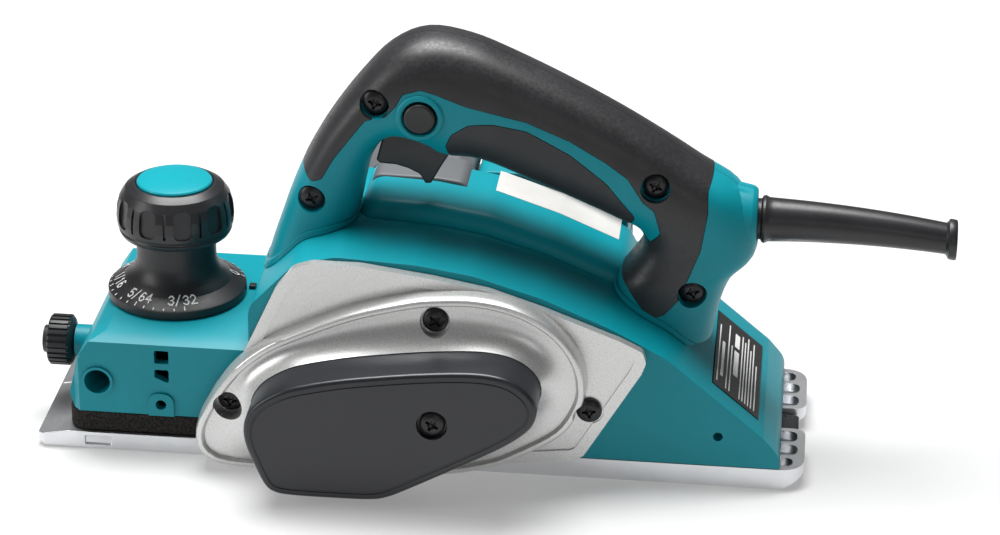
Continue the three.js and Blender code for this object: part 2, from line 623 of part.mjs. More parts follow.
// The cord guard bends gently downwards: its drop grows with the square of its reach.
function cordGuard() {
  const profile = [[4, 110.5], [10.2, 110.5], [10.2, 114.6], [7.6, 114.6], [7.6, 122.3], [8.2, 122.6],
    [8, 150], [6.6, 175], [5.8, 189.5], [7.5, 190], [7.5, 193.3], [4, 193.3], [4, 175], [4, 150], [4, 130]];
  const straight = turnedX(0, guardZ, profile, 12);
  const bendStart = 130;
  const dropPerSquare = 0.0011;
  return straight.warp((vertex) => {
    vertex[2] -= dropPerSquare * Math.max(0, vertex[0] - bendStart) ** 2;
  });
}

// ---- depth knob ----
function knobScaleRing() {
  return turnedZ(knobX, 0, [[4.3, 47.2], [26, 47.2], [26, 50.5], [20.5, 53.5], [16.6, 57.5], [15, 62],
    [15, 70.6], [4.3, 70.6]], 24);
}

function knobGrip() {
  return turnedZ(knobX, 0, [[0, 81], [4.3, 81], [4.3, 71], [19.5, 71], [21.3, 72.5], [21.9, 75], [21.5, 82],
    [19.5, 88], [16, 92], [14.6, 92.2], [14.6, 89.6], [0, 89.6]], 24);
}

function knobCap() {
  return turnedZ(knobX, 0, [[0, 90], [14.2, 90], [14.2, 92.8], [8, 94], [0, 94.4]], 20);
}

function adjustingScrew() {
  return turnedZ(knobX, 0, [[0, 9.5], [4, 9.5], [4, 38], [7, 38], [7, 40.6], [4, 40.6], [4, 80.6], [0, 80.6]], 16);
}

function depthSpring() {
  return turnedZ(knobX, 0, [[9, frontBaseTop + gap], [11.5, frontBaseTop + gap], [11.5, 40.6], [9, 40.6]], 16);
}

function fenceScrew() {
  return turnedX(clampY, rodHoleZ, [[0, -146], [5.5, -146], [6, -145.4], [6, -143.6], [9.4, -143.4],
    [10, -142.4], [10, -135.2], [9.4, -134.2], [3, -134.2], [3, -124.4], [0, -124.4]], 20);
}

// ---- parking foot ----
function parkingFoot() {
  const profile = rounded([[footPivotX - 3.4, 2, 2], [footPivotX - 3.4, 6.9, 2], [footPivotX + 6, 7, 1],
    [140, 5.8, 1], [140, 3.4, 1], [footPivotX + 4, 2, 1]], 2);
  return across(profile, -6.8, 6.8).add(rodY(footPivotX, footPivotZ, 1.4, -12.5, 12.5, 12));
}

function namePlate() {
  return onRearSlope(22.4, 60, -0.3, 0.3);
}

// Pan head screw along Y: the head's outer face, its underside and the tip of the shank.
function screw([x, z], headFace, underside, tip) {
  const body = turnedY(x, z, [[0, headFace], [screwHeadRadius - 1.4, headFace],
    [screwHeadRadius, headFace + 1.2], [screwHeadRadius, underside], [shankRadius, underside],
    [shankRadius, tip], [0, tip]], 10);
  const recess = [0, 90].map((turn) => block(-2.6, 2.6, headFace - 1, headFace + 1.2, -0.55, 0.55)
    .rotate([0, turn + 25, 0]).translate([x, 0, z]));
  return cutAll(body, recess);
}

// ---- assembly ----
addPart('front_base', frontBase(), aluminium);
addPart('rear_base', rearBase(), aluminium);
addPart('dust_seal', dustSeal(), blackRubber);
addPart('front_housing', frontHousing(), teal);
addPart('main_housing', mainHousing(), teal);
addPart('motor_housing', motorHousing(), teal);
addPart('motor_end_cap', motorEndCap(), teal);
addPart('chip_chute', chipChute(), greyPlastic);
addPart('drum_bearing_cover', drumBearingCover(), silverPaint);
addPart('side_plate', sidePlate(), silverPaint);
addPart('belt_cover', beltCover(), blackPlastic);
addPart('drive_belt', driveBelt(), blackRubber);
addPart('driven_pulley', pulley(drumX, drumZ, drivenPulleyRadius, 6.3), steel);
addPart('motor_pulley', pulley(motorX, motorZ, motorPulleyRadius, 4.3), steel);
addPart('drum', drum(), steel);
addPart('armature_shaft', armatureShaft(), steel);
addPart('armature_core', armatureCore(), steel);
addPart('commutator', commutator(), copper);
addPart('cooling_fan', coolingFan(), blackPlastic);
addPart('stator', stator(), steel);
[['rear', 1], ['front', -1]].forEach(([place, side]) => {
  addPart(`${place}_brush_holder`, brushHolder(side), blackPlastic);
  addPart(`${place}_carbon_brush`, carbonBrush(side), carbon);
  addPart(`${place}_brush_cap`, brushCap(side), blackPlastic);
});
[0, 180].forEach((turn, i) => {
  addPart(`blade_${i + 1}`, blade(turn), steel);
  addPart(`blade_clamp_${i + 1}`, bladeClamp(turn), steel);
});
addPart('drum_near_bearing', bearing(drumX, drumZ, 6.3, 13, -49.6, -42), steel);
addPart('drum_far_bearing', bearing(drumX, drumZ, 6.3, 11, 41.8, 48.4), steel);
addPart('motor_near_bearing', bearing(motorX, motorZ, 4.3, 13, -49.6, -42), steel);
addPart('motor_far_bearing', bearing(motorX, motorZ, 4.3, 9, 66, 72), steel);
[['left', -1], ['right', 1]].forEach(([place, side]) => {
  addPart(`handle_${place}`, handleHalfShell(side), teal);
  addPart(`grip_top_${place}`, gripTop(side), blackRubber);
  addPart(`grip_insert_${place}`, gripInsert(side), blackRubber);
});
addPart('trigger', trigger(), blackPlastic);
addPart('lock_button', lockButton(), blackPlastic);
addPart('switch_body', switchBody(), blackPlastic);
addPart('cord_guard', cordGuard(), blackRubber);
addPart('knob_scale_ring', knobScaleRing(), blackPlastic);
addPart('knob_grip', knobGrip(), blackRubber);
addPart('knob_cap', knobCap(), teal);
addPart('adjusting_screw', adjustingScrew(), steel);
addPart('depth_spring', depthSpring(), steel);
addPart('fence_screw', fenceScrew(), blackPlastic);
addPart('parking_foot', parkingFoot(), blackPlastic);
addPart('name_plate', namePlate(), blackPlastic);
plateScrews.forEach((at, i) => addPart(`side_plate_screw_${i + 1}`, screw(at, -48, plateOuterY - gap, -38.5),
  blackSteel));
addPart('belt_cover_screw', screw(coverScrew, coverOuterY + 0.2, coverOuterY + 2.3, -47.5), blackSteel);
handleScrews.forEach((at, i) => addPart(`handle_screw_${i + 1}`, screw(at, -16.5, -14.1, 8), blackSteel));

export default group;
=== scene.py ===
# A hand-held electric planer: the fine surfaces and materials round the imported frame.
# Lengths in this file are millimetres unless a name says metres; MM turns them into metres.
import math

import bmesh
import bpy
from mathutils import Matrix, Vector


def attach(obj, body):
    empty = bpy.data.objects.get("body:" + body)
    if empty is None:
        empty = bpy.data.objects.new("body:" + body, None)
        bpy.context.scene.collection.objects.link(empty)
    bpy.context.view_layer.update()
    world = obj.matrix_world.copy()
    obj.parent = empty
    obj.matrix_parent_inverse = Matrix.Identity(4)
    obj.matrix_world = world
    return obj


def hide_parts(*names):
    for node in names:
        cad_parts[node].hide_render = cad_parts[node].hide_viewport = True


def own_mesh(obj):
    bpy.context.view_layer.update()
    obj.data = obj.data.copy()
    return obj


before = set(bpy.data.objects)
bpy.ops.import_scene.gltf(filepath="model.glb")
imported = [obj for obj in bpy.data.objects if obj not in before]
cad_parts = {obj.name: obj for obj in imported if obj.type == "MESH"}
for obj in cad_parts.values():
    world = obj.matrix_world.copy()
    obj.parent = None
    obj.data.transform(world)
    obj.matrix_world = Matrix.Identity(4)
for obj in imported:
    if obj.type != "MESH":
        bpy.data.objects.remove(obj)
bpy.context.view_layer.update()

MM = 0.001

# ---- main sizes, as in the frame ----
HALF_LENGTH = 142.5
HALF_WIDTH = 41.0
DRUM = (-30.0, 28.0)
MOTOR = (32.0, 43.0)
KNOB_X = -96.0
ROD_HOLE = (-119.0, 27.7)
CLAMP = (-8.0, 27.7)
PLATE_FACE = -45.0
COVER_FACE = -75.0
FAR_FACE = 41.3
MOTOR_END = 83.0
GUARD_Z = 89.7
FOOT_PIVOT = (122.0, 4.2)
PLATE_SCREWS = [(-68.2, 26.4), (7.7, 65.6), (63.5, 30.2)]
COVER_SCREW = (9.5, 36.0)
HANDLE_SCREWS = [(-18.7, 134.0), (-42.0, 95.3), (83.4, 107.0), (98.3, 65.6)]
LOCK_BUTTON = (-2.1, 130.3)
SLOPE_TOP = (107, 37)
SLOPE_FOOT = (127, 20.5)
SCREW_HOLE = 2.3
BODY_GAP = 0.35
PARTING_GAP = 0.12
HANDLE_WALL = 4.5


# ---- camera ----
def make_camera():
    """The camera looks along its azimuth and elevation, from a place set aside from and above the origin."""
    azimuth, elevation, roll = (math.radians(a) for a in (5.389, 25.347, 0.87))
    distance, aside, above = 1235.2, 26.7245, 56.4608
    back = Vector((math.sin(azimuth) * math.cos(elevation), -math.cos(azimuth) * math.cos(elevation),
                   math.sin(elevation)))
    level = Vector((math.cos(azimuth), math.sin(azimuth), 0))
    rise = back.cross(level)
    right = level * math.cos(roll) + rise * math.sin(roll)
    up = rise * math.cos(roll) - level * math.sin(roll)
    place = back * distance + right * aside + up * above
    data = bpy.data.cameras.new("camera")
    data.sensor_width = 36
    data.lens = 116.64
    data.clip_end = 50
    camera = bpy.data.objects.new("camera", data)
    axes = Matrix((right, up, back)).transposed().to_4x4()
    camera.matrix_world = Matrix.Translation(place * MM) @ axes
    bpy.context.scene.collection.objects.link(camera)
    bpy.context.scene.camera = camera


# ---- outlines ----
def rounded(corners, steps=6):
    """Corners (x, z, radius) as a polygon with rounded corners."""
    points = []
    for i, corner in enumerate(corners):
        at = Vector(corner[:2])
        radius = corner[2] if len(corner) > 2 else 0
        if not radius:
            points.append(at)
            continue
        to_before = Vector(corners[i - 1][:2]) - at
        to_after = Vector(corners[(i + 1) % len(corners)][:2]) - at
        room = 0.48 * min(to_before.length, to_after.length)
        half = to_before.angle(to_after) / 2
        cut = min(radius / math.tan(half), room)
        start = at + to_before.normalized() * cut
        end = at + to_after.normalized() * cut
        for step in range(steps + 1):
            t = step / steps
            points.append(start * (1 - t) ** 2 + at * 2 * t * (1 - t) + end * t * t)
    return points


def flowing(points, per_point=4, closed=True):
    """A smooth line through listed points (a Catmull-Rom curve)."""
    knots = [Vector(p) for p in points]
    count = len(knots)
    line = []
    for i in range(count if closed else count - 1):
        if closed:
            a, b, c, d = (knots[(i + k) % count] for k in (-1, 0, 1, 2))
        else:
            a, b, c, d = (knots[min(max(i + k, 0), count - 1)] for k in (-1, 0, 1, 2))
        for step in range(per_point):
            t = step / per_point
            line.append(0.5 * (2 * b + (c - a) * t + (2 * a - 5 * b + 4 * c - d) * t * t
                               + (3 * b - a - 3 * c + d) * t ** 3))
    if not closed:
        line.append(knots[-1])
    return line


def grown(points, distance):
    """A closed outline moved outwards, or inwards if the distance is negative."""
    area = sum(a.x * b.y - b.x * a.y for a, b in zip(points, points[1:] + points[:1]))
    side = 1 if area > 0 else -1
    moved = []
    for i, point in enumerate(points):
        first = (point - points[i - 1]).normalized()
        second = (points[(i + 1) % len(points)] - point).normalized()
        normal = Vector((first.y + second.y, -(first.x + second.x))).normalized()
        stretch = max(0.5, math.sqrt(max(0.0, (1 + first.dot(second)) / 2)))
        moved.append(point + normal * side * distance / stretch)
    return moved


def shrunk(corners, distance, radius, steps=6):
    """An outline of corners moved inwards while they are sharp, then rounded, so it never crosses itself."""
    moved = grown([Vector(corner[:2]) for corner in corners], -distance)
    return rounded([(p.x, p.y, radius) for p in moved], steps)


# ---- solids ----
def face_outwards(bm):
    """Turns every face outwards; a concave end face can make the first guess inside out."""
    bmesh.ops.recalc_face_normals(bm, faces=bm.faces)
    if bm.calc_volume(signed=True) < 0:
        bmesh.ops.reverse_faces(bm, faces=bm.faces)


def drawn_out(outline, move):
    """A flat outline of points drawn out along a straight move."""
    bm = bmesh.new()
    face = bm.faces.new([bm.verts.new(p) for p in outline])
    drawn = bmesh.ops.extrude_face_region(bm, geom=[face])
    ends = [g for g in drawn["geom"] if isinstance(g, bmesh.types.BMVert)]
    bmesh.ops.translate(bm, verts=ends, vec=move)
    face_outwards(bm)
    return bm


def across(points, y0, y1, rim_near=0, rim_far=0, segments=4):
    """An XZ outline made solid between two Y planes, with its near and far rims rounded."""
    bm = drawn_out([(p[0], y1, p[1]) for p in points], (0, y0 - y1, 0))
    for y, rim in ((y0, rim_near), (y1, rim_far)):
        if rim:
            round_edges(bm, lambda e, y=y: all(abs(v.co.y - y) < 1e-4 for v in e.verts), rim, segments)
    return bm


def upright(points, z0, z1, rim_top=0, rim_bottom=0, segments=4):
    """An XY outline made solid between two heights, with its top and bottom rims rounded."""
    bm = drawn_out([(p[0], p[1], z0) for p in points], (0, 0, z1 - z0))
    for z, rim in ((z1, rim_top), (z0, rim_bottom)):
        if rim:
            round_edges(bm, lambda e, z=z: all(abs(v.co.z - z) < 1e-4 for v in e.verts), rim, segments)
    return bm


def round_edges(bm, chosen, width, segments=3):
    edges = [e for e in bm.edges if chosen(e)]
    if edges:
        bmesh.ops.bevel(bm, geom=edges, offset=width, affect="EDGES", segments=segments, profile=0.5,
                        material=-1, clamp_overlap=True)


def block(low, high, rim=0, segments=3):
    bm = bmesh.new()
    bmesh.ops.create_cube(bm, size=1)
    size = Vector(high) - Vector(low)
    bmesh.ops.scale(bm, verts=bm.verts, vec=size)
    bmesh.ops.translate(bm, verts=bm.verts, vec=Vector(low) + size / 2)
    if rim:
        round_edges(bm, lambda e: True, rim, segments)
    return bm


AXES = {"x": (Vector((0, 1, 0)), Vector((1, 0, 0))), "y": (Vector((1, 0, 0)), Vector((0, 1, 0))),
        "z": (Vector((1, 0, 0)), Vector((0, 0, 1)))}


def turned(profile, axis, centre, steps=48):
    """A profile of (radius, place along the axis) spun once round that axis."""
    out, along = AXES[axis]
    bm = bmesh.new()
    ring = [bm.verts.new(Vector(centre) + out * r + along * a) for r, a in profile]
    edges = [bm.edges.new(pair) for pair in zip(ring, ring[1:])]
    if profile[0][0] > 0 and profile[-1][0] > 0:
        edges.append(bm.edges.new((ring[-1], ring[0])))
    bmesh.ops.spin(bm, geom=ring + edges, cent=Vector(centre), axis=along, angle=2 * math.pi,
                   steps=steps, use_merge=True)
    bmesh.ops.remove_doubles(bm, verts=bm.verts, dist=1e-4)
    face_outwards(bm)
    return bm


def rod(axis, centre, radius, start, end, steps=32):
    return turned([(0, start), (radius, start), (radius, end), (0, end)], axis, centre, steps)


def softened(profile, radius, steps=4):
    """A turning profile with its inner corners rounded; its two ends stay."""
    corners = [(r, a, radius) for r, a in profile]
    corners[0] = corners[0][:2]
    corners[-1] = corners[-1][:2]
    return [(max(0.0, p.x), p.y) for p in rounded(corners, steps)]


def mesh_from(bm, name):
    bmesh.ops.scale(bm, verts=bm.verts, vec=(MM, MM, MM))
    mesh = bpy.data.meshes.new(name)
    bm.to_mesh(mesh)
    bm.free()
    return mesh


def loose_object(bm, name):
    piece = bpy.data.objects.new(name, mesh_from(bm, name))
    bpy.context.scene.collection.objects.link(piece)
    return piece


def as_copy(piece):
    """A loose object's shape as a new millimetre bmesh."""
    bm = bmesh.new()
    bm.from_mesh(piece.data)
    bmesh.ops.scale(bm, verts=bm.verts, vec=(1 / MM, 1 / MM, 1 / MM))
    return bm


def discard(piece):
    mesh = piece.data
    bpy.data.objects.remove(piece)
    bpy.data.meshes.remove(mesh)


def as_tool(piece):
    """A loose object turned back into a millimetre bmesh, ready to cut or join with."""
    bm = as_copy(piece)
    discard(piece)
    return bm


def applied(piece):
    """Replaces the piece's mesh by what its modifiers make of it."""
    bpy.context.view_layer.update()
    evaluated = piece.evaluated_get(bpy.context.evaluated_depsgraph_get())
    finished = bpy.data.meshes.new_from_object(evaluated)
    piece.modifiers.clear()
    old = piece.data
    piece.data = finished
    finished.name = piece.name
    bpy.data.meshes.remove(old)


def combine(piece, tools, operation):
    """Cuts the tools from the piece, joins them to it, or keeps what they share."""
    for number, bm in enumerate(tools):
        tool = loose_object(bm, f"{piece.name}_tool_{number}")
        modifier = piece.modifiers.new("cut", "BOOLEAN")
        modifier.operation = operation
        modifier.solver = "MANIFOLD"
        modifier.object = tool
        applied(piece)
        discard(tool)


def cut(piece, *tools):
    combine(piece, tools, "DIFFERENCE")


def join(piece, *tools):
    combine(piece, tools, "UNION")


def keep_inside(piece, tool):
    combine(piece, [tool], "INTERSECT")


def tidy_mesh(piece):
    """Drops doubled points and slivers that cutting leaves."""
    nearest = 0.01 * MM
    bm = bmesh.new()
    bm.from_mesh(piece.data)
    bmesh.ops.remove_doubles(bm, verts=bm.verts, dist=nearest)
    bmesh.ops.dissolve_degenerate(bm, edges=bm.edges, dist=nearest)
    bm.to_mesh(piece.data)
    bm.free()


def soft_edges(piece, width, segments=2, angle=32):
    """Rounds the piece's sharp edges, with flat faces kept flat in the shading."""
    modifier = piece.modifiers.new("edges", "BEVEL")
    modifier.width = width * MM
    modifier.segments = segments
    modifier.limit_method = "ANGLE"
    modifier.angle_limit = math.radians(angle)
    modifier.harden_normals = True
    modifier.miter_outer = "MITER_ARC"


def smooth_shade(piece, angle=32):
    """Shades smoothly, with edges sharper than the angle kept crisp."""
    bm = bmesh.new()
    bm.from_mesh(piece.data)
    for face in bm.faces:
        face.smooth = True
    for edge in bm.edges:
        if len(edge.link_faces) == 2:
            edge.smooth = edge.calc_face_angle(0) < math.radians(angle)
    bm.to_mesh(piece.data)
    bm.free()


def finish_piece(piece, body, finish, nodes=(), edge=0, angle=32, segments=2):
    """Gives a piece its edges, finish and body, and hides the frame's nodes that it stands for."""
    tidy_mesh(piece)
    if edge:
        for polygon in piece.data.polygons:
            polygon.use_smooth = True
        soft_edges(piece, edge, segments, angle)
    else:
        smooth_shade(piece, angle)
    piece.data.materials.clear()
    piece.data.materials.append(finish)
    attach(piece, body)
    if nodes:
        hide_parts(*nodes)


# ---- materials ----
def new_material(name):
    material = bpy.data.materials.new(name)
    material.use_nodes = True
    tree = material.node_tree
    return material, tree, tree.nodes["Principled BSDF"]


def object_coordinates(tree, stretch=(1, 1, 1)):
    place = tree.nodes.new("ShaderNodeTexCoord")
    mapping = tree.nodes.new("ShaderNodeMapping")
    mapping.inputs["Scale"].default_value = stretch
    tree.links.new(place.outputs["Object"], mapping.inputs["Vector"])
    return mapping.outputs["Vector"]


def noise(tree, coordinates, per_metre, detail=3, roughness=0.55):
    node = tree.nodes.new("ShaderNodeTexNoise")
    node.inputs["Scale"].default_value = per_metre
    node.inputs["Detail"].default_value = detail
    node.inputs["Roughness"].default_value = roughness
    tree.links.new(coordinates, node.inputs["Vector"])
    return node.outputs["Fac"]


def cells(tree, coordinates, per_metre, feature="F1"):
    node = tree.nodes.new("ShaderNodeTexVoronoi")
    node.feature = feature
    node.inputs["Scale"].default_value = per_metre
    tree.links.new(coordinates, node.inputs["Vector"])
    return node


def ramp(tree, value, stops):
    node = tree.nodes.new("ShaderNodeValToRGB")
    elements = node.color_ramp.elements
    while len(elements) < len(stops):
        elements.new(0.5)
    for element, (place, colour) in zip(elements, stops):
        element.position = place
        element.color = (*colour, 1)
    tree.links.new(value, node.inputs["Fac"])
    return node.outputs["Color"]


def spread(tree, value, low, high):
    """A value from 0..1 turned into low..high."""
    node = tree.nodes.new("ShaderNodeMapRange")
    node.inputs["To Min"].default_value = low
    node.inputs["To Max"].default_value = high
    tree.links.new(value, node.inputs["Value"])
    return node.outputs["Result"]


def bump(tree, shader, height, strength, depth_mm):
    node = tree.nodes.new("ShaderNodeBump")
    node.inputs["Strength"].default_value = strength
    node.inputs["Distance"].default_value = depth_mm * MM
    tree.links.new(height, node.inputs["Height"])
    tree.links.new(node.outputs["Normal"], shader.inputs["Normal"])


def moulded_plastic(name, colour, roughness, grain_mm, grain_strength, shade=0.12, gloss_spread=0.08):
    """Injection-moulded plastic: fine spark-eroded grain and a slow drift in colour and gloss."""
    material, tree, shader = new_material(name)
    place = object_coordinates(tree)
    slow = noise(tree, place, 35, 4)
    dark = tuple(c * (1 - shade) for c in colour)
    light = tuple(min(1, c * (1 + shade)) for c in colour)
    tree.links.new(ramp(tree, slow, [(0.3, dark), (0.7, light)]), shader.inputs["Base Color"])
    fine = noise(tree, place, 1 / (grain_mm * MM), 2)
    tree.links.new(spread(tree, fine, roughness - gloss_spread, roughness + gloss_spread),
                   shader.inputs["Roughness"])
    bump(tree, shader, fine, grain_strength, grain_mm * 0.25)
    return material


def rubber_grain(name, colour, roughness, grain_mm, strength):
    """Leather-like moulded rubber: packed rounded cells with worn, slightly shinier tops."""
    material, tree, shader = new_material(name)
    place = object_coordinates(tree)
    pebble = cells(tree, place, 1 / (grain_mm * MM), "SMOOTH_F1")
    pebble.inputs["Smoothness"].default_value = 0.6
    slow = noise(tree, place, 60, 3)
    dark = tuple(c * 0.8 for c in colour)
    light = tuple(c * 1.35 for c in colour)
    tree.links.new(ramp(tree, slow, [(0.3, dark), (0.75, light)]), shader.inputs["Base Color"])
    tree.links.new(spread(tree, pebble.outputs["Distance"], roughness - 0.1, roughness + 0.12),
                   shader.inputs["Roughness"])
    bump(tree, shader, pebble.outputs["Distance"], -strength, grain_mm * 0.35)
    return material


def metallic_paint(name, colour, flake_mm):
    """Silver paint: flakes that tilt and sparkle under a smooth coat."""
    material, tree, shader = new_material(name)
    place = object_coordinates(tree)
    flakes = cells(tree, place, 1 / (flake_mm * MM))
    grey = tree.nodes.new("ShaderNodeSeparateColor")
    tree.links.new(flakes.outputs["Color"], grey.inputs["Color"])
    dark = tuple(c * 0.9 for c in colour)
    light = tuple(min(1, c * 1.08) for c in colour)
    tree.links.new(ramp(tree, grey.outputs["Red"], [(0.1, dark), (0.9, light)]), shader.inputs["Base Color"])
    tree.links.new(spread(tree, grey.outputs["Green"], 0.26, 0.44), shader.inputs["Roughness"])
    shader.inputs["Metallic"].default_value = 0.72
    shader.inputs["Coat Weight"].default_value = 0.25
    shader.inputs["Coat Roughness"].default_value = 0.2
    bump(tree, shader, flakes.outputs["Distance"], 0.06, 0.05)
    return material


def machined_metal(name, colour, roughness, stretch, line_mm=0.25, metallic=1.0, strength=0.12):
    """Metal with the fine lines of the cutter or grinding wheel along one way."""
    material, tree, shader = new_material(name)
    lines = noise(tree, object_coordinates(tree, stretch), 1 / (line_mm * MM), 3, 0.65)
    slow = noise(tree, object_coordinates(tree), 40, 3)
    dark = tuple(c * 0.86 for c in colour)
    tree.links.new(ramp(tree, slow, [(0.3, dark), (0.7, colour)]), shader.inputs["Base Color"])
    tree.links.new(spread(tree, lines, roughness - 0.1, roughness + 0.12), shader.inputs["Roughness"])
    shader.inputs["Metallic"].default_value = metallic
    bump(tree, shader, lines, strength, 0.03)
    return material


def foam_material(name):
    material, tree, shader = new_material(name)
    place = object_coordinates(tree)
    pores = cells(tree, place, 1100)
    dark, light = (0.004, 0.004, 0.004), (0.03, 0.028, 0.026)
    tree.links.new(ramp(tree, pores.outputs["Distance"], [(0.1, dark), (0.7, light)]), shader.inputs["Base Color"])
    shader.inputs["Roughness"].default_value = 0.95
    shader.inputs["Specular IOR Level"].default_value = 0.2
    bump(tree, shader, pores.outputs["Distance"], 0.8, 0.5)
    return material


TEAL = moulded_plastic("teal_plastic", (0.0, 0.25, 0.305), 0.42, 0.35, 0.12, 0.05)
TEAL.node_tree.nodes["Principled BSDF"].inputs["Specular IOR Level"].default_value = 0.28
TEAL_GLOSS = moulded_plastic("teal_gloss", (0.0, 0.3, 0.36), 0.3, 0.6, 0.05, 0.04)
SILVER = metallic_paint("silver_paint", (0.66, 0.665, 0.655), 0.13)
ALUMINIUM = machined_metal("machined_aluminium", (0.82, 0.83, 0.85), 0.34, (0.02, 1, 1))
ALUMINIUM_CAST = moulded_plastic("cast_aluminium", (0.62, 0.63, 0.65), 0.42, 0.5, 0.25, 0.08)
ALUMINIUM_CAST.node_tree.nodes["Principled BSDF"].inputs["Metallic"].default_value = 0.85
COVER_BLACK = moulded_plastic("cover_black", (0.016, 0.017, 0.021), 0.3, 0.3, 0.06, 0.1, 0.05)
BLACK = moulded_plastic("black_plastic", (0.014, 0.0145, 0.016), 0.42, 0.4, 0.12, 0.15)
RUBBER = rubber_grain("grained_rubber", (0.02, 0.02, 0.022), 0.42, 1.2, 1.0)
RUBBER_FINE = rubber_grain("fine_rubber", (0.02, 0.02, 0.022), 0.48, 0.45, 0.25)
KNOB_BLACK = rubber_grain("knob_black", (0.016, 0.016, 0.018), 0.4, 0.5, 0.2)
KNOB_HEAD = moulded_plastic("knob_head", (0.018, 0.018, 0.02), 0.34, 0.5, 0.1, 0.15)
GUARD_RUBBER = rubber_grain("guard_rubber", (0.016, 0.016, 0.018), 0.36, 0.6, 0.08)
FOAM = foam_material("seal_foam")
GREY = moulded_plastic("grey_plastic", (0.105, 0.11, 0.118), 0.5, 0.4, 0.15)
STEEL = machined_metal("ground_steel", (0.6, 0.61, 0.63), 0.3, (1, 0.03, 1))
BLADE_STEEL = machined_metal("blade_steel", (0.75, 0.76, 0.78), 0.2, (1, 0.03, 1), 0.15)
SCREW_BLACK = machined_metal("black_screw", (0.03, 0.03, 0.032), 0.32, (1, 1, 1), 0.4, 0.55, 0.2)
COPPER = machined_metal("copper", (0.75, 0.36, 0.2), 0.3, (1, 0.03, 1))
CARBON = moulded_plastic("carbon", (0.03, 0.03, 0.03), 0.7, 0.3, 0.3)
WINDING = machined_metal("lamination", (0.25, 0.25, 0.27), 0.45, (0.05, 1, 0.05), 0.5, 0.9, 0.4)
PRINT_WHITE = moulded_plastic("print_white", (0.78, 0.78, 0.76), 0.5, 0.3, 0.05)
PLATE_BLACK = moulded_plastic("plate_black", (0.012, 0.012, 0.013), 0.35, 0.25, 0.05)
LABEL = moulded_plastic("label_white", (0.58, 0.57, 0.55), 0.45, 0.5, 0.05)


# ---- sole and seal ----
def make_front_base():
    profile = [(-142.5, 1.6), (-142.5, 4.6), (-131, 6.5), (-52.5, 6.5), (-43.5, 0), (-139.5, 0)]
    base = loose_object(across(profile, -HALF_WIDTH, HALF_WIDTH), "front_sole_plate")
    groove = across([(-4, -0.5), (4, -0.5), (3.6, 0), (0, 3)], 0, 85)
    bmesh.ops.rotate(groove, verts=groove.verts, cent=(0, 0, 0), matrix=Matrix.Rotation(math.pi / 2, 3, "Z"))
    bmesh.ops.translate(groove, verts=groove.verts, vec=(-60, 0, 0))
    side_recess = block((-124.5, -42, 1.4), (-114.5, -40.1, 5), 0.5)
    nose_corners = [upright([(-143.5, side * 38.5), (-139, side * 42), (-143.5, side * 42)], -1, 9)
                    for side in (-1, 1)]
    cut(base, groove, side_recess, *nose_corners)
    join(base, rod("z", (KNOB_X, 0, 0), 8, 6, 25))
    cut(base, rod("z", (KNOB_X, 0, 0), 4.4, 6.2, 26))
    finish_piece(base, "front_sole", ALUMINIUM, ["front_base"], edge=0.35)
    mark = loose_object(block((-141.6, -0.35, 4.78), (-132.5, 0.35, 4.95)), "centre_mark")
    tilt = math.atan2(6.5 - 4.6, 142.5 - 131)
    middle = Matrix.Translation(Vector((-137, 0, 4.85)) * MM)
    lift = Matrix.Translation(Vector((0, 0, 0.62)) * MM)
    mark.data.transform(middle @ Matrix.Rotation(-tilt, 4, "Y") @ middle.inverted() @ lift)
    finish_piece(mark, "front_sole", PRINT_WHITE)


def lobe_pocket(near, far, front, back, side):
    """An open-topped pocket in the rear base's end, with round corners."""
    low, high = sorted((side * near, side * far))
    corners = [(front, low, 1.5), (back, low, 3.5), (back, high, 3.5), (front, high, 1.5)]
    return upright(rounded(corners), 3.6, 12, 0, 1.2, 3)


def make_rear_base():
    profile = [(-22, 0), (-8.5, 8), (142.5, 8), (142.5, 4), (134.5, 0)]
    base = loose_object(across(profile, -HALF_WIDTH, HALF_WIDTH), "rear_sole_plate")
    inner, outer, end = 8, HALF_WIDTH, HALF_LENGTH
    tools = []
    for side in (-1, 1):
        lobe = rounded([(100, side * inner), (end, side * inner, 5), (end, side * outer, 10), (100, side * outer)])
        inside_edge, outside_edge = side * (inner - 0.01), side * 44
        around = [(115, inside_edge), (146, inside_edge), (146, outside_edge), (115, outside_edge)]
        outside = loose_object(upright(around, -2, 10), "lobe_outside")
        cut(outside, upright(lobe, -3, 11))
        tools.append(as_tool(outside))
        for near, far, back in ((10.3, 18.6, 139.6), (20.8, 28.8, 139.8), (31, 37.8, 138.2)):
            tools.append(lobe_pocket(near, far, 118, back, side))
    tools.append(block((FOOT_PIVOT[0] - 7, -8, -1), (HALF_LENGTH + 1, 8, 10)))
    cut(base, *tools)
    finish_piece(base, "root", ALUMINIUM, ["rear_base"], edge=0.4)


def make_seal():
    outer = rounded([(-131, -39.5, 8), (-64, -39.5), (-64, 39.5), (-131, 39.5, 8)])
    inner = rounded([(-126, -35, 5), (-60, -35), (-60, 35), (-126, 35, 5)])
    seal = loose_object(upright(outer, 6.8, 14.8), "foam_seal")
    cut(seal, upright(inner, 5, 16))
    bm = bmesh.new()
    bm.from_mesh(seal.data)
    long_edges = [e for e in bm.edges if e.calc_length() > 6 * MM]
    bmesh.ops.subdivide_edges(bm, edges=long_edges, cuts=6, use_grid_fill=True)
    bm.to_mesh(seal.data)
    bm.free()
    finish_piece(seal, "front_sole", FOAM, ["dust_seal"], edge=0.5)
    applied(seal)
    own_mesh(seal)


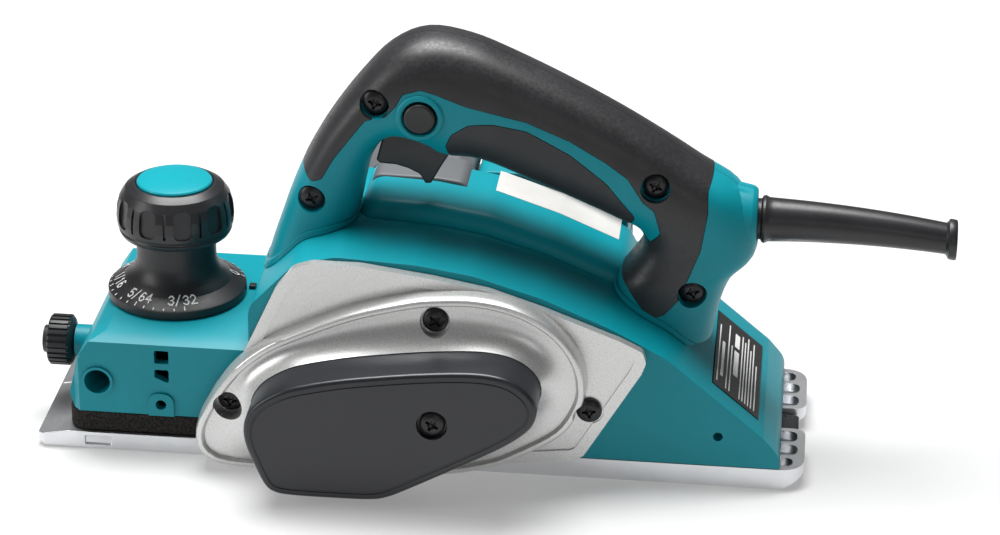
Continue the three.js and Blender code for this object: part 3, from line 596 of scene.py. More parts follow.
def make_depth_spring():
    """A coiled spring round the adjusting screw, built at one length and riding with the front sole."""
    low, high, coil, wire, turns, steps = 7.9, 39.4, 10.25, 1.05, 7, 24
    loops = []
    for i in range(turns * steps + 1):
        angle = 2 * math.pi * i / steps
        out = Vector((math.cos(angle), math.sin(angle), 0))
        centre = Vector((KNOB_X, 0, low + (high - low) * i / (turns * steps))) + out * coil
        section = [2 * math.pi * k / 8 for k in range(8)]
        loops.append([centre + out * wire * math.cos(a) + Vector((0, 0, wire * math.sin(a))) for a in section])
    spring = loose_object(skinned(loops), "coiled_depth_spring")
    finish_piece(spring, "front_sole", STEEL, ["depth_spring"])
    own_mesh(spring)


# ---- front housing ----
def make_front_housing():
    rear = -62.3
    profile = rounded([(-128.6, 15), (-130.3, 21, 3.5), (-126.5, 37.1, 8), (-121.7, 44.2, 3), (-116, 46.7, 3),
                       (rear, 46.7), (rear, 15)], 5)
    housing = loose_object(across(profile, -HALF_WIDTH, HALF_WIDTH), "front_housing_shell")
    tools = []
    for side in (-1, 1):
        # the sloped facet along each top edge, then the cut-off front corner
        corners = [(41.5, 44.0), (35.2, 46.9), (35.2, 50), (45, 50), (45, 44.0)]
        tools.append(drawn_out([(-160, side * y, z) for y, z in corners], (120, 0, 0)))
        tools.append(upright([(-136, side * 37.5), (-128.5, side * 37.5), (-123.5, side * 43), (-136, side * 43)],
                             10, 50))
    cut(housing, *tools)
    relief = [(-140, 37.4), (-126.1, 37.3), (-121.6, 35.6), (-111.5, 35.3), (-103.3, 32.3), (-91.8, 25.6),
              (-80.4, 18.0), (-74, 14), (-74, 10), (-140, 10)]
    cut(housing, across(relief, -42, -40.1))
    boss = across(rounded([(-100.1, 10), (-100.1, 24.2, 4.6), (-90.5, 24.2, 4.6), (-90.5, 10)], 6), -41.0, -39)
    join(housing, boss, rod("y", (ROD_HOLE[0], 0, ROD_HOLE[1]), 5.9, -40.9, -39, 40),
         rod("x", (0, *CLAMP), 6.2, -133.6, -120, 40))
    hollow = across(rounded([(-125.5, 5), (-126, 22), (-122.8, 36), (-118.5, 42, 2), (-115, 43), (rear - 3, 43),
                             (rear - 3, 5)]), -37.5, 37.5)
    cut(housing, hollow, block((-150, -60, 0), (-50, 60, 15)))
    join(housing, rod("y", (ROD_HOLE[0], 0, ROD_HOLE[1]), 7, -38.5, 38.5, 40))
    window = rounded([(-97.3, 36.7, 0.8), (-97.3, 42, 0.8), (-91.9, 42, 0.8), (-91.9, 36.7, 0.8)], 3)
    lower_window = rounded([(-97.4, 31, 0.6), (-97.4, 34.2, 0.8), (-92, 34.2, 0.8), (-92, 28.7, 0.8)], 3)
    cut(housing, rod("y", (ROD_HOLE[0], 0, ROD_HOLE[1]), 4.85, -50, 50, 40),
        rod("x", (0, *CLAMP), 3.3, -140, ROD_HOLE[0], 24), rod("z", (KNOB_X, 0, 0), 4.4, 38, 60, 24),
        across(window, -50, -36), across(lower_window, -50, -36),
        rod("y", (-95.3, 0, 19.6), 2.0, -50, -36, 24),
        rod("y", (PLATE_SCREWS[0][0], 0, PLATE_SCREWS[0][1]), SCREW_HOLE, -50, -38, 16))
    finish_piece(housing, "root", TEAL, ["front_housing"], edge=0.45, segments=3)
    pointer = across([(-69.8, 46.75), (-67.2, 46.75), (-67.2, 48.2), (-69.8, 48.2)], 5.2, 8.2)
    finish_piece(loose_object(pointer, "depth_pointer"), "root", BLACK, edge=0.3)


# ---- main housing ----
BODY_TOP = [(-62, 62, 9), (-45, 80, 14), (-30, 84, 14), (0, 82.5, 30), (20, 79.5, 30), (45, 72, 30),
            (70, 61.5, 30), (90, 51, 30), (*SLOPE_TOP, 12), (*SLOPE_FOOT, 6), (133.5, 13, 9)]
HUMP = [(-29, 79, 10), (-24, 90, 8), (0, 89, 30), (22, 85.5, 30), (46, 77.5, 30), (72, 66.5, 10), (78, 55),
        (60, 20), (-29, 20)]
CHUTE_NECK = [(-24.5, 79), (-24.5, 90.6, 4), (0, 90.2, 20), (10, 88.9, 5), (13, 84, 4), (13, 79)]


def make_main_housing():
    outline = rounded(BODY_TOP + [(133.5, -30), (-62, -30)], 6)
    housing = loose_object(across(outline, -HALF_WIDTH, HALF_WIDTH, 8.5, 8.5, 7), "main_housing_shell")
    join(housing, across(rounded(HUMP), -4, HALF_WIDTH, 5.5, 5.5, 6))
    cut(housing, block((-70, -60, -40), (140, 60, 8.3)), block((-70, -60, 0), (-51, 60, 12)))
    hollow = across(rounded([(67, 6), (67, 55, 4), (88, 44, 6), (104, 31, 6), (122, 15, 3), (122, 6)]), -36, 36)
    cut(housing, rod("y", (DRUM[0], 0, DRUM[1]), 29.8, -50, 50, 64),
        block((-28, -22, 50), (-1, 50, 77), 2), rod("y", (MOTOR[0], 0, MOTOR[1]), 29.5, -37, 50, 64),
        rod("y", (MOTOR[0], 0, MOTOR[1]), 14, -50, -30, 40), hollow,
        rod("y", (110.5, 0, 20.2), 1.8, -50, -36.5, 24))
    slope = block((-11.5, -30.3, -0.6), (11.5, 30.3, 4))
    place_on_slope(slope)
    neck_room = grown([Vector(corner[:2]) for corner in CHUTE_NECK], 0.2)
    cut(housing, slope, across(rounded([(p.x, p.y, 4) for p in neck_room]), 20, 50))
    finish_piece(housing, "root", TEAL, ["main_housing"], edge=0.5, segments=3, angle=28)


def make_chute_neck():
    neck = loose_object(across(rounded(CHUTE_NECK), 20.2, 41.2, 1.2, 0, 3), "chip_spout_neck")
    finish_piece(neck, "root", GREY, edge=0.3)


def place_on_slope(bm):
    """Moves a flat shape from the origin to the middle of the rear slope."""
    run, drop = SLOPE_FOOT[0] - SLOPE_TOP[0], SLOPE_TOP[1] - SLOPE_FOOT[1]
    down = 9
    bmesh.ops.rotate(bm, verts=bm.verts, cent=(0, 0, 0), matrix=Matrix.Rotation(math.atan2(drop, run), 3, "Y"))
    bmesh.ops.translate(bm, verts=bm.verts, vec=(SLOPE_TOP[0] + down, 0, SLOPE_TOP[1] - down * drop / run))


def make_name_plate():
    """A rating plate with plain bars where the text would be."""
    plate = block((-11.2, -30, -0.35), (11.2, 30, 0.25))
    place_on_slope(plate)
    finish_piece(loose_object(plate, "rating_plate"), "root", PLATE_BLACK, ["name_plate"], edge=0.2)
    bars = bmesh.new()
    for place, width, start, end in (
            (-9.6, 0.5, -26, 20), (-7.6, 1.3, -20, 8), (-5.2, 0.5, -27, 25), (-3.6, 0.5, -27, 10),
            (-1.2, 2.2, -12, 8), (-1.2, 2.2, 11, 22), (1.4, 0.5, -27, 24), (2.8, 0.5, -27, 21),
            (4.2, 0.5, -27, 26), (5.6, 0.5, -27, 18), (7.0, 0.5, -27, 25), (8.6, 0.5, -27, 9)):
        bar = bmesh.ops.create_cube(bars, size=1)
        bmesh.ops.scale(bars, verts=bar["verts"], vec=(width, end - start, 0.12))
        bmesh.ops.translate(bars, verts=bar["verts"], vec=(place, (start + end) / 2, 0.27))
    place_on_slope(bars)
    finish_piece(loose_object(bars, "rating_plate_print"), "root", PRINT_WHITE)


# ---- belt side ----
PLATE = [(-81, 13, 4), (-79.3, 21.4, 10), (-73.5, 32.2, 10), (-66, 39.1, 5), (-51, 72.4, 8), (-44.8, 80.4, 6),
         (-38, 82.7, 6), (-20.3, 82.7, 14), (6, 79.3, 20), (26.3, 75.6, 20), (46.6, 69, 20), (73.9, 58.6, 6),
         (82.2, 54.6, 3), (83.6, 50.5, 3), (82, 45.8, 3), (61.8, 11, 3), (58, 9), (53.4, 8.6), (21.9, 4.8),
         (0, 3), (-60, 3), (-74, 5)]
RING = [(-66.0, 2.0), (-74.5, 3.6), (-79.4, 8.6), (-80.2, 14.5), (-78.6, 20.6), (-72.5, 32.2), (-65.0, 42.4),
        (-55.0, 51.0), (-44.0, 57.1), (-23.5, 66.3), (-3.1, 72.3), (7.0, 74.1), (22.2, 74.8), (37.3, 71.8),
        (50.6, 64.3), (59.0, 53.5), (61.8, 42.4), (60.4, 33.5), (53.5, 22.3), (38.3, 12.4), (28.0, 7.6),
        (10.0, 3.6), (-20.0, 2.0), (-45.0, 1.6)]
COVER = [(-58.6, 28.9), (-57.5, 34.6), (-53.8, 40.0), (-47.7, 44.4), (-40.6, 47.6), (-25.4, 51.4), (-10.4, 53.9),
         (4.6, 55.9), (19.6, 57.2), (29.5, 57.0), (37.5, 55.0), (43.6, 50.6), (46.6, 45.0), (46.0, 39.3),
         (42.8, 34.6), (34.9, 28.4), (19.9, 19.6), (2.0, 9.6), (-6.5, 5.3), (-13.0, 3.9), (-25.0, 3.6),
         (-41.2, 3.7), (-48.0, 4.8), (-51.6, 8.2), (-55.3, 16.5), (-57.7, 23.0)]
BULGE_CENTRE = Vector((-8.0, 32.0))
PLATE_SCREW_FACES = (-46.7, -51.3, -46.8)


def spokes(outline, count=144):
    """The outline's points where evenly spread rays from the bulge's centre cross it."""
    crossings = []
    for i in range(count):
        angle = 2 * math.pi * i / count
        ray = Vector((math.cos(angle), math.sin(angle)))
        best = None
        for a, b in zip(outline, outline[1:] + outline[:1]):
            side = b - a
            across_ray = ray.x * side.y - ray.y * side.x
            if abs(across_ray) < 1e-9:
                continue
            to_a = a - BULGE_CENTRE
            reach = (to_a.x * side.y - to_a.y * side.x) / across_ray
            part = (to_a.x * ray.y - to_a.y * ray.x) / across_ray
            if reach > 0 and -1e-6 <= part <= 1 + 1e-6 and (best is None or reach > best):
                best = reach
        crossings.append(BULGE_CENTRE + ray * best)
    return crossings


def skinned(loops, close=False):
    """Rings of points (in order) skinned one to the next; the last joins the first if closed."""
    bm = bmesh.new()
    rings = []
    for loop in loops:
        verts = [bm.verts.new(p) for p in loop]
        rings.append([bm.edges.new((a, b)) for a, b in zip(verts, verts[1:] + verts[:1])])
    pairs = list(zip(rings, rings[1:]))
    if close:
        pairs.append((rings[-1], rings[0]))
    for first, second in pairs:
        bmesh.ops.bridge_loops(bm, edges=first + second)
    if not close:
        for ring in (rings[0], rings[-1]):
            bmesh.ops.contextual_create(bm, geom=ring)
    face_outwards(bm)
    return bm


def make_side_plate():
    plate = loose_object(across(rounded(PLATE), PLATE_FACE, -FAR_FACE), "belt_side_plate")
    cut(plate, across(shrunk(PLATE, 4.2, 3), PLATE_FACE - 1, PLATE_FACE + 0.7))
    ring = flowing(RING, 4)
    ring_spokes = spokes(ring)
    cover_spokes = spokes(grown(flowing(COVER, 4), 0.3))

    def ring_at(distance, y):
        return [Vector((p.x, y, max(p.y, 0.8))) for p in spokes(grown(ring, distance))]

    def between(share, y):
        return [Vector((a.x + (b.x - a.x) * share, y, max(0.8, a.y + (b.y - a.y) * share)))
                for a, b in zip(ring_spokes, cover_spokes)]

    loops = [ring_at(0.9, -44.0), ring_at(0.6, -48.5), ring_at(0.2, -51.4), ring_at(-0.2, -52.0),
             ring_at(-0.8, -52.3), ring_at(-1.9, -52.3), ring_at(-2.3, -52.0), ring_at(-2.5, -51.2),
             ring_at(-2.9, -50.6), ring_at(-3.4, -50.7)]
    flare_start, flare_rise, start_share, flare_steps = -50.7, 6.4, 0.22, 12
    for step in range(1, flare_steps + 1):
        part = step / flare_steps
        loops.append(between(start_share + (1 - start_share) * part, flare_start - flare_rise * part ** 2.4))
    loops.append(between(1.0, -44.0))
    join(plate, skinned(loops, close=True))
    for (x, z), face in zip(PLATE_SCREWS, PLATE_SCREW_FACES):
        cut(plate, rod("y", (x, 0, z), 5.5, -60, face + 2.3, 40))
    cut(plate, *[rod("y", (x, 0, z), 13.3, -50, -40, 48) for x, z in (DRUM, MOTOR)])
    cut(plate, *[rod("y", (x, 0, z), SCREW_HOLE, -60, -40, 16) for x, z in PLATE_SCREWS])
    finish_piece(plate, "root", SILVER, ["side_plate"], edge=0.3, angle=30)


def make_belt_cover():
    outline = flowing(COVER, 4)
    cover = loose_object(across(outline, COVER_FACE, -52.6, 1.6, 0, 5), "belt_side_cover")
    groove = loose_object(across(grown(outline, -2.6), COVER_FACE - 1, COVER_FACE + 0.35), "face_groove")
    cut(groove, across(grown(outline, -3.3), COVER_FACE - 2, COVER_FACE + 2))
    cut(cover, as_tool(groove), across(grown(outline, -2.2), COVER_FACE + 2.4, -50))
    x, z = COVER_SCREW
    join(cover, rod("y", (x, 0, z), 7, COVER_FACE + 2, -52.6, 32))
    cut(cover, rod("y", (x, 0, z), 5.6, -80, COVER_FACE + 2.6, 40), rod("y", (x, 0, z), SCREW_HOLE, -80, -50, 16))
    finish_piece(cover, "root", COVER_BLACK, ["belt_cover"], edge=0.3)


def make_screw(name, node, at, face, tip, turn):
    """A pan-head screw along Y with a cross recess."""
    x, z = at
    radius = 4.65
    profile = [(0, face), (radius * 0.55, face + 0.12), (radius * 0.85, face + 0.55), (radius, face + 1.3),
               (radius, face + 2.2), (2.0, face + 2.2), (2.0, tip), (0, tip)]
    screw = loose_object(turned(profile, "y", (x, 0, z), 40), name)
    for angle in (0, 90):
        arm = block((-2.5, face - 1, -0.55), (2.5, face + 1.5, 0.55))
        bmesh.ops.rotate(arm, verts=arm.verts, cent=(0, 0, 0),
                         matrix=Matrix.Rotation(math.radians(turn + angle), 3, "Y"))
        bmesh.ops.translate(arm, verts=arm.verts, vec=(x, 0, z))
        cut(screw, arm)
    cone = turned([(0, face - 0.3), (1.9, face - 0.3), (0.5, face + 1.9), (0, face + 1.9)], "y", (x, 0, z), 12)
    cut(screw, cone)
    finish_piece(screw, "root", SCREW_BLACK, [node], edge=0.12)


def make_screws():
    for number, (at, face) in enumerate(zip(PLATE_SCREWS, PLATE_SCREW_FACES)):
        make_screw(f"plate_screw_{number + 1}", f"side_plate_screw_{number + 1}", at, face, -38.5, 8 + 37 * number)
    make_screw("cover_screw", "belt_cover_screw", COVER_SCREW, COVER_FACE + 0.2, -47.5, 30)
    for number, at in enumerate(HANDLE_SCREWS):
        make_screw(f"grip_screw_{number + 1}", f"handle_screw_{number + 1}", at, -15.6, 8, 15 + 50 * number)


# ---- handle ----
# Each station: outer x and z, inner x and z, half width.
HANDLE_STATIONS = [
    (-62, 58, -36, 66, 19.2), (-59.5, 70, -30.5, 78, 18.6), (-55, 84, -26.3, 87, 17.8), (-50.5, 97, -24, 98, 17.4),
    (-44.9, 109.6, -21.5, 108, 17.4), (-37.4, 122.8, -17, 116, 17.6), (-27, 137.5, -12, 118.5, 18),
    (-15.2, 150.6, -6, 117, 18.4), (-2, 156.8, 0, 114.5, 18.5), (13.9, 154.9, 5.5, 111.5, 18.5),
    (30, 148.7, 19, 110.6, 18.2), (50, 139.5, 38, 103.4, 17.8), (68.8, 129.8, 56, 96, 17.6),
    (86, 119.7, 70, 90, 17.8), (100, 110.8, 77.5, 86.3, 18.2), (113.4, 102.6, 79.2, 81.5, 18.3),
    (120.3, 90, 77.9, 77, 18.3), (120.3, 78, 73.5, 70.5, 18.4), (112.5, 69, 70.5, 66, 18.5),
    (108.5, 58, 69, 60, 18.5), (106, 44, 67, 50, 18.5)]
TOP_REGION = [
    (-75, 111), (-45.7, 105.8), (-42, 102.3, 2), (-38.2, 103.8, 2), (-33.7, 112.1), (-27.6, 120.5), (-22, 128, 3),
    (-15, 129.5, 3), (-11, 134, 3), (-8.4, 139, 3), (-1.8, 141, 3), (3.4, 139.6, 3), (14.4, 135.5),
    (36.3, 130.4, 10), (52.2, 123.7), (65.4, 116), (73.4, 110.2, 4), (79, 101.5, 4), (83.4, 98, 2), (85.8, 89, 2),
    (82, 84), (76, 88), (70, 82), (66, 72), (74.5, 65.5), (83, 55.5, 3), (88, 57, 3), (93.4, 63.6, 6),
    (100.5, 83.6, 10), (102.6, 98.1, 6), (102.3, 105.8, 4), (106, 113), (106, 165), (-75, 165)]
INSERT_REGION = [
    (9, 108, 2), (7.1, 119, 3), (9.3, 124.1, 3), (15.4, 128.3, 4), (24.1, 129, 6), (36.4, 127, 10),
    (52.3, 118.5, 8), (65.6, 108, 8), (76.5, 94.5, 3), (72, 86), (60, 90), (40, 98), (19, 105)]
TRIGGER_PIVOT = (-14.0, 119.0)
TRIGGER_TRAVEL = 9.0
TRIGGER = [(-16, 121.5, 2), (8, 123, 2), (7.5, 112, 1), (5.2, 108.2, 3), (0.9, 100.2, 1), (-1.3, 100.1, 1),
           (-3.2, 103.6, 3), (-7.6, 105.7, 4), (-12, 106.9, 4), (-18, 107.2, 1), (-19.3, 108.4, 1)]


def handle_form(inside=0.0):
    """The handle's flowing shape, or the same shape a given wall further in."""
    sides, squareness = 36, 2 / 2.7
    loops = []
    for x0, z0, x1, z1, half in flowing(HANDLE_STATIONS, 4, closed=False):
        outer, inner = Vector((x0, 0, z0)), Vector((x1, 0, z1))
        middle, arm = (outer + inner) / 2, (outer - inner) / 2
        arm = arm.normalized() * (arm.length - inside)
        loop = []
        for i in range(sides):
            angle = 2 * math.pi * (i + 0.5) / sides
            out = math.copysign(abs(math.cos(angle)) ** squareness, math.cos(angle))
            wide = math.copysign(abs(math.sin(angle)) ** squareness, math.sin(angle))
            point = middle + arm * out
            loop.append((point.x, (half - inside) * wide, point.z))
        loops.append(loop)
    return skinned(loops)


def body_room(lift):
    """All that lies under the body's top, raised by a small gap."""
    top = [(x, z + lift, *radius) for x, z, *radius in BODY_TOP]
    return across(rounded(top + [(150, 0), (150, -20), (-80, -20), (-80, 20)], 6), -60, 60)


def trigger_rooms():
    """The room that the trigger sweeps through on its pull."""
    rooms = []
    for part in (0, 0.5, 1):
        room = across(grown(rounded(TRIGGER, 3), 0.7), -8.9, 8.9)
        bmesh.ops.rotate(room, verts=room.verts, cent=(TRIGGER_PIVOT[0], 0, TRIGGER_PIVOT[1]),
                         matrix=Matrix.Rotation(math.radians(-TRIGGER_TRAVEL * part), 3, "Y"))
        rooms.append(room)
    return rooms


def handle_openings(screw_radius):
    """Screw holes, lock button hole, trigger room and cord guard seat."""
    tools = []
    for x, z in HANDLE_SCREWS:
        stepped = [(0, -40), (screw_radius, -40), (screw_radius, -13.3), (SCREW_HOLE, -13.3), (SCREW_HOLE, 9), (0, 9)]
        tools.append(turned(stepped, "y", (x, 0, z), 40))
    tools.append(rod("y", (LOCK_BUTTON[0], 0, LOCK_BUTTON[1]), 6.3, -40, -4, 48))
    tools.append(rod("x", (0, 0, GUARD_Z), 10.8, 104, 115.2, 48))
    tools.append(rod("x", (0, 0, GUARD_Z), 8.0, 110, 140, 48))
    return tools + trigger_rooms()


def make_base_lip():
    """The raised lip round the handle where it meets the body."""
    lip = loose_object(handle_form(-0.9), "handle_base_lip")
    keep_inside(lip, body_room(2.6))
    cut(lip, body_room(BODY_GAP), handle_form(-0.2))
    finish_piece(lip, "root", TEAL, edge=0.25, angle=40)


def one_side(side):
    """All the room on one side of the handle's parting line."""
    near, far = sorted((side * PARTING_GAP, side * 40))
    return block((-90, near, -10), (150, far, 170))


def make_handle():
    """Two shells that part down the middle, with rubber let into them above and inside the grip."""
    sides = (("left", -1), ("right", 1))
    top = rounded(TOP_REGION)
    insert = rounded(INSERT_REGION)
    rubber_bed = loose_object(across(grown(top, 0.12), -40, 40), "rubber_bed")
    join(rubber_bed, across(grown(insert, 0.12), -40, 40))
    cut(rubber_bed, handle_form(2.2))
    core = loose_object(handle_form(), "handle_core")
    collar = softened([(0, 96), (14.5, 96), (13.4, 113), (12.3, 118.6), (11.2, 120.4), (0, 120.4)], 1.5)
    join(core, turned(collar, "x", (0, 0, GUARD_Z), 48))
    cut(core, body_room(BODY_GAP), as_tool(rubber_bed), handle_form(HANDLE_WALL), *handle_openings(5.3))
    for name, side in sides:
        shell = loose_object(as_copy(core), f"handle_shell_{name}")
        keep_inside(shell, one_side(side))
        finish_piece(shell, "root", TEAL, [f"handle_{name}"], edge=0.5, segments=3, angle=30)
    for region, part, rubber in ((top, "top", RUBBER), (insert, "insert", RUBBER_FINE)):
        layer = loose_object(handle_form(-0.15), f"{part}_layer")
        keep_inside(layer, across(grown(region, -0.08), -40, 40))
        tools = handle_openings(5.5) if part == "top" else trigger_rooms()
        cut(layer, body_room(BODY_GAP), handle_form(2.4), *tools)
        for name, side in sides:
            half = loose_object(as_copy(layer), f"rubber_{part}_{name}")
            keep_inside(half, one_side(side))
            finish_piece(half, "root", rubber, [f"grip_{part}_{name}"], edge=0.45, segments=3,
                         angle=30)
        discard(layer)
    discard(core)


def make_trigger():
    trigger = loose_object(across(rounded(TRIGGER, 6), -8, 8, 1.6, 1.6, 4), "finger_trigger")
    finish_piece(trigger, "trigger", BLACK, ["trigger"], edge=0.35, angle=40)


def make_lock_button():
    x, z = LOCK_BUTTON
    rim = turned([(6.45, -16.0), (6.45, -18.9), (6.9, -19.4), (8.0, -19.4), (8.7, -18.9), (8.7, -16.0)], "y",
                 (x, 0, z), 56)
    finish_piece(loose_object(rim, "lock_button_rim"), "root", TEAL, edge=0.2)
    profile = [(0, -20.1), (3.6, -20.3), (5.0, -20.35), (5.7, -19.7), (5.7, -9), (0, -9)]
    button = loose_object(turned(profile, "y", (x, 0, z), 56), "round_lock_button")
    finish_piece(button, "lock_button", BLACK, ["lock_button"], edge=0.25)


def make_cord_guard():
    """The guard bends gently downwards: its drop grows with the square of its reach."""
    start, drop = 130.0, 0.0011
    outside = softened([(10.2, 110.5), (10.2, 114.6), (7.6, 114.6), (7.6, 121.8), (8.6, 122.2), (8.9, 123.2),
                        (8.2, 124.6)], 0.4)
    reach = [124.6 + (189.2 - 124.6) * i / 40 for i in range(1, 41)]
    outside += [(8.2 - 2.4 * ((x - 124.6) / 64.6) ** 0.9, x) for x in reach]
    outside += [(6.4, 189.8), (7.3, 190.3), (7.5, 190.9), (7.5, 192.7), (7.2, 193.2), (4.6, 193.3), (4.0, 192.8)]
    bore = [(4.0, x) for x in reversed([110.5] + reach[::4])]
    guard = turned(outside + bore, "x", (0, 0, GUARD_Z), 40)
    for vert in guard.verts:
        vert.co.z -= drop * max(0.0, vert.co.x - start) ** 2
    finish_piece(loose_object(guard, "cord_bend_guard"), "root", GUARD_RUBBER, ["cord_guard"])


# ---- depth knob ----
DIGITS = {
    "0": [[(0, 0.25), (0, 0.75), (0.2, 1), (0.45, 1), (0.65, 0.75), (0.65, 0.25), (0.45, 0), (0.2, 0), (0, 0.25)]],
    "1": [[(0.12, 0.8), (0.35, 1), (0.35, 0)]],
    "2": [[(0, 0.8), (0.2, 1), (0.45, 1), (0.65, 0.8), (0.62, 0.58), (0, 0), (0.68, 0)]],
    "3": [[(0, 0.85), (0.2, 1), (0.45, 1), (0.65, 0.8), (0.45, 0.53), (0.25, 0.53)],
          [(0.45, 0.53), (0.67, 0.28), (0.45, 0), (0.2, 0), (0, 0.15)]],
    "4": [[(0.5, 0), (0.5, 1), (0, 0.32), (0.7, 0.32)]],
    "5": [[(0.62, 1), (0.08, 1), (0.04, 0.55), (0.4, 0.62), (0.66, 0.35), (0.45, 0), (0.2, 0), (0, 0.15)]],
    "6": [[(0.6, 0.9), (0.4, 1), (0.2, 0.95), (0, 0.5), (0, 0.22), (0.2, 0), (0.45, 0), (0.65, 0.28), (0.45, 0.56),
           (0.2, 0.56), (0, 0.3)]],
    "/": [[(0, -0.1), (0.5, 1.1)]],
}


def stroke(bm, start, end, width, thick=0.12):
    """A thin bar from one point to another on the XY plane, standing on it."""
    run = Vector(end) - Vector(start)
    bar = bmesh.ops.create_cube(bm, size=1)
    bmesh.ops.scale(bm, verts=bar["verts"], vec=(run.length + width, width, thick))
    bmesh.ops.rotate(bm, verts=bar["verts"], cent=(0, 0, 0),
                     matrix=Matrix.Rotation(math.atan2(run.y, run.x), 3, "Z"))
    middle = (Vector(start) + Vector(end)) / 2
    bmesh.ops.translate(bm, verts=bar["verts"], vec=(middle.x, middle.y, 0))


CONE_TOP = (20.3, 53.9)
CONE_FALL, NECK_RISE = 0.598, 0.762


def dial_surface(radius):
    """Height of the scale ring at a radius: a cone, and a steeper neck inside it."""
    inside = CONE_TOP[0] - radius
    return CONE_TOP[1] + inside * (CONE_FALL if inside < 0 else NECK_RISE)


def write_on_dial(bm, word, middle_angle, height, foot_radius):
    """Strokes of a word, wrapped on the cone with their tops towards the neck."""
    step = 0.82 * height
    start = -step * len(word) / 2
    for number, sign in enumerate(word):
        flat = bmesh.new()
        for line in DIGITS[sign]:
            for a, b in zip(line, line[1:]):
                stroke(flat, (start + number * step + a[0] * height * 0.85, a[1] * height),
                       (start + number * step + b[0] * height * 0.85, b[1] * height), 0.13 * height)
        for vert in flat.verts:
            radius = foot_radius - vert.co.y * 0.88
            angle = middle_angle + vert.co.x / foot_radius
            vert.co = Vector((KNOB_X + radius * math.cos(angle), radius * math.sin(angle),
                              dial_surface(radius) + 0.05 + vert.co.z))
        spare = bpy.data.meshes.new("spare")
        flat.to_mesh(spare)
        flat.free()
        bm.from_mesh(spare)
        bpy.data.meshes.remove(spare)


def make_dial_print():
    marks = bmesh.new()
    zero, per_mark = math.radians(17), math.radians(45)
    words = ["0", "1/64", "1/32", "3/64", "1/16", "5/64", "3/32"]
    for number, word in enumerate(words):
        angle = zero + number * per_mark
        write_on_dial(marks, word, angle, 3.6, 23.2)
        for tick in range(5 if number < len(words) - 1 else 1):
            turn = angle + per_mark * tick / 5
            long = 1.0 if tick else 1.8
            bar = bmesh.ops.create_cube(marks, size=1)["verts"]
            bmesh.ops.scale(marks, verts=bar, vec=(long, 0.38, 0.14))
            middle = 25.6 - long / 2
            bmesh.ops.rotate(marks, verts=bar, cent=(0, 0, 0), matrix=Matrix.Rotation(math.atan(CONE_FALL), 3, "Y"))
            bmesh.ops.translate(marks, verts=bar, vec=(middle, 0, dial_surface(middle) + 0.06))
            bmesh.ops.rotate(marks, verts=bar, cent=(0, 0, 0), matrix=Matrix.Rotation(turn, 3, "Z"))
            bmesh.ops.translate(marks, verts=bar, vec=(KNOB_X, 0, 0))
    finish_piece(loose_object(marks, "dial_print"), "depth_knob", PRINT_WHITE)


def make_knob():
    centre = (KNOB_X, 0, 0)
    ring = [(4.6, 47.2), (4.6, 70.6), (14.6, 70.6), (14.9, 66), (14.9, 62.4), (15.4, 60.2), (16.5, 57.7),
            (18.2, 55.5), CONE_TOP, (20.5, 53.5), (25.4, 50.85), (25.9, 50.4), (26.0, 49.9), (26.0, 47.6),
            (25.7, 47.2)]
    finish_piece(loose_object(turned(ring, "z", centre, 96), "dial_ring"), "depth_knob", KNOB_BLACK,
                 ["knob_scale_ring"], angle=28)
    head_profile = softened([(15.0, 71.0), (17.4, 71.2), (20.4, 72.6), (21.2, 74.3), (20.8, 74.8), (20.8, 75.4),
                             (21.6, 76.0), (21.9, 79.5), (21.6, 83.6), (20.6, 87.2), (18.4, 90.4), (15.4, 92.2),
                             (14.5, 92.2), (14.5, 91.2), (4.6, 91.2), (4.6, 71.0)], 0.9, 4)
    head = loose_object(turned(head_profile, "z", centre, 120), "knob_head")
    flutes = 10
    for number in range(flutes):
        turn = 2 * math.pi * number / flutes
        scoop = block((20.7, -3.3, 77.2), (26, 3.3, 88.0))
        round_edges(scoop, lambda e: abs(e.verts[0].co.x - e.verts[1].co.x) > 1, 2.4, 5)
        bmesh.ops.rotate(scoop, verts=scoop.verts, cent=(20.7, 0, 79), matrix=Matrix.Rotation(-0.1, 3, "Y"))
        slot = block((20.4, -0.5, 77.6), (26, 0.5, 90))
        for tool, extra in ((scoop, 0), (slot, math.pi / flutes)):
            bmesh.ops.rotate(tool, verts=tool.verts, cent=(0, 0, 0), matrix=Matrix.Rotation(turn + extra, 3, "Z"))
            bmesh.ops.translate(tool, verts=tool.verts, vec=centre)
        cut(head, scoop, slot)
    finish_piece(head, "depth_knob", KNOB_HEAD, ["knob_grip"], edge=0.3, angle=28)
    cap = turned([(0, 91.4), (14.0, 91.4), (14.0, 92.5), (13.6, 93.0), (12.0, 93.4), (8.0, 93.9), (4.0, 94.1),
                  (0, 94.15)], "z", centre, 80)
    finish_piece(loose_object(cap, "knob_top_cap"), "depth_knob", TEAL_GLOSS, ["knob_cap"])
    make_dial_print()


def make_fence_screw():
    y, z = CLAMP
    start, end = -146.0, -134.2
    profile = softened([(0, start), (5.2, start), (5.4, start + 2.2), (9.0, start + 2.4), (9.7, start + 3.1),
                        (9.7, end - 1.8), (8.6, end - 0.9), (6.0, end), (3.0, end), (3.0, -121.0), (0, -121.0)],
                       0.3)
    body = loose_object(turned(profile, "x", (0, y, z), 96), "guide_clamp_knob")
    teeth = 26
    for number in range(teeth):
        turn = 2 * math.pi * number / teeth
        groove = block((start + 1.5, -0.5, 9.05), (end, 0.5, 11))
        bmesh.ops.rotate(groove, verts=groove.verts, cent=(0, 0, 0), matrix=Matrix.Rotation(turn, 3, "X"))
        bmesh.ops.translate(groove, verts=groove.verts, vec=(0, y, z))
        cut(body, groove)
    finish_piece(body, "fence_clamp", BLACK, ["fence_screw"], edge=0.2, angle=28)


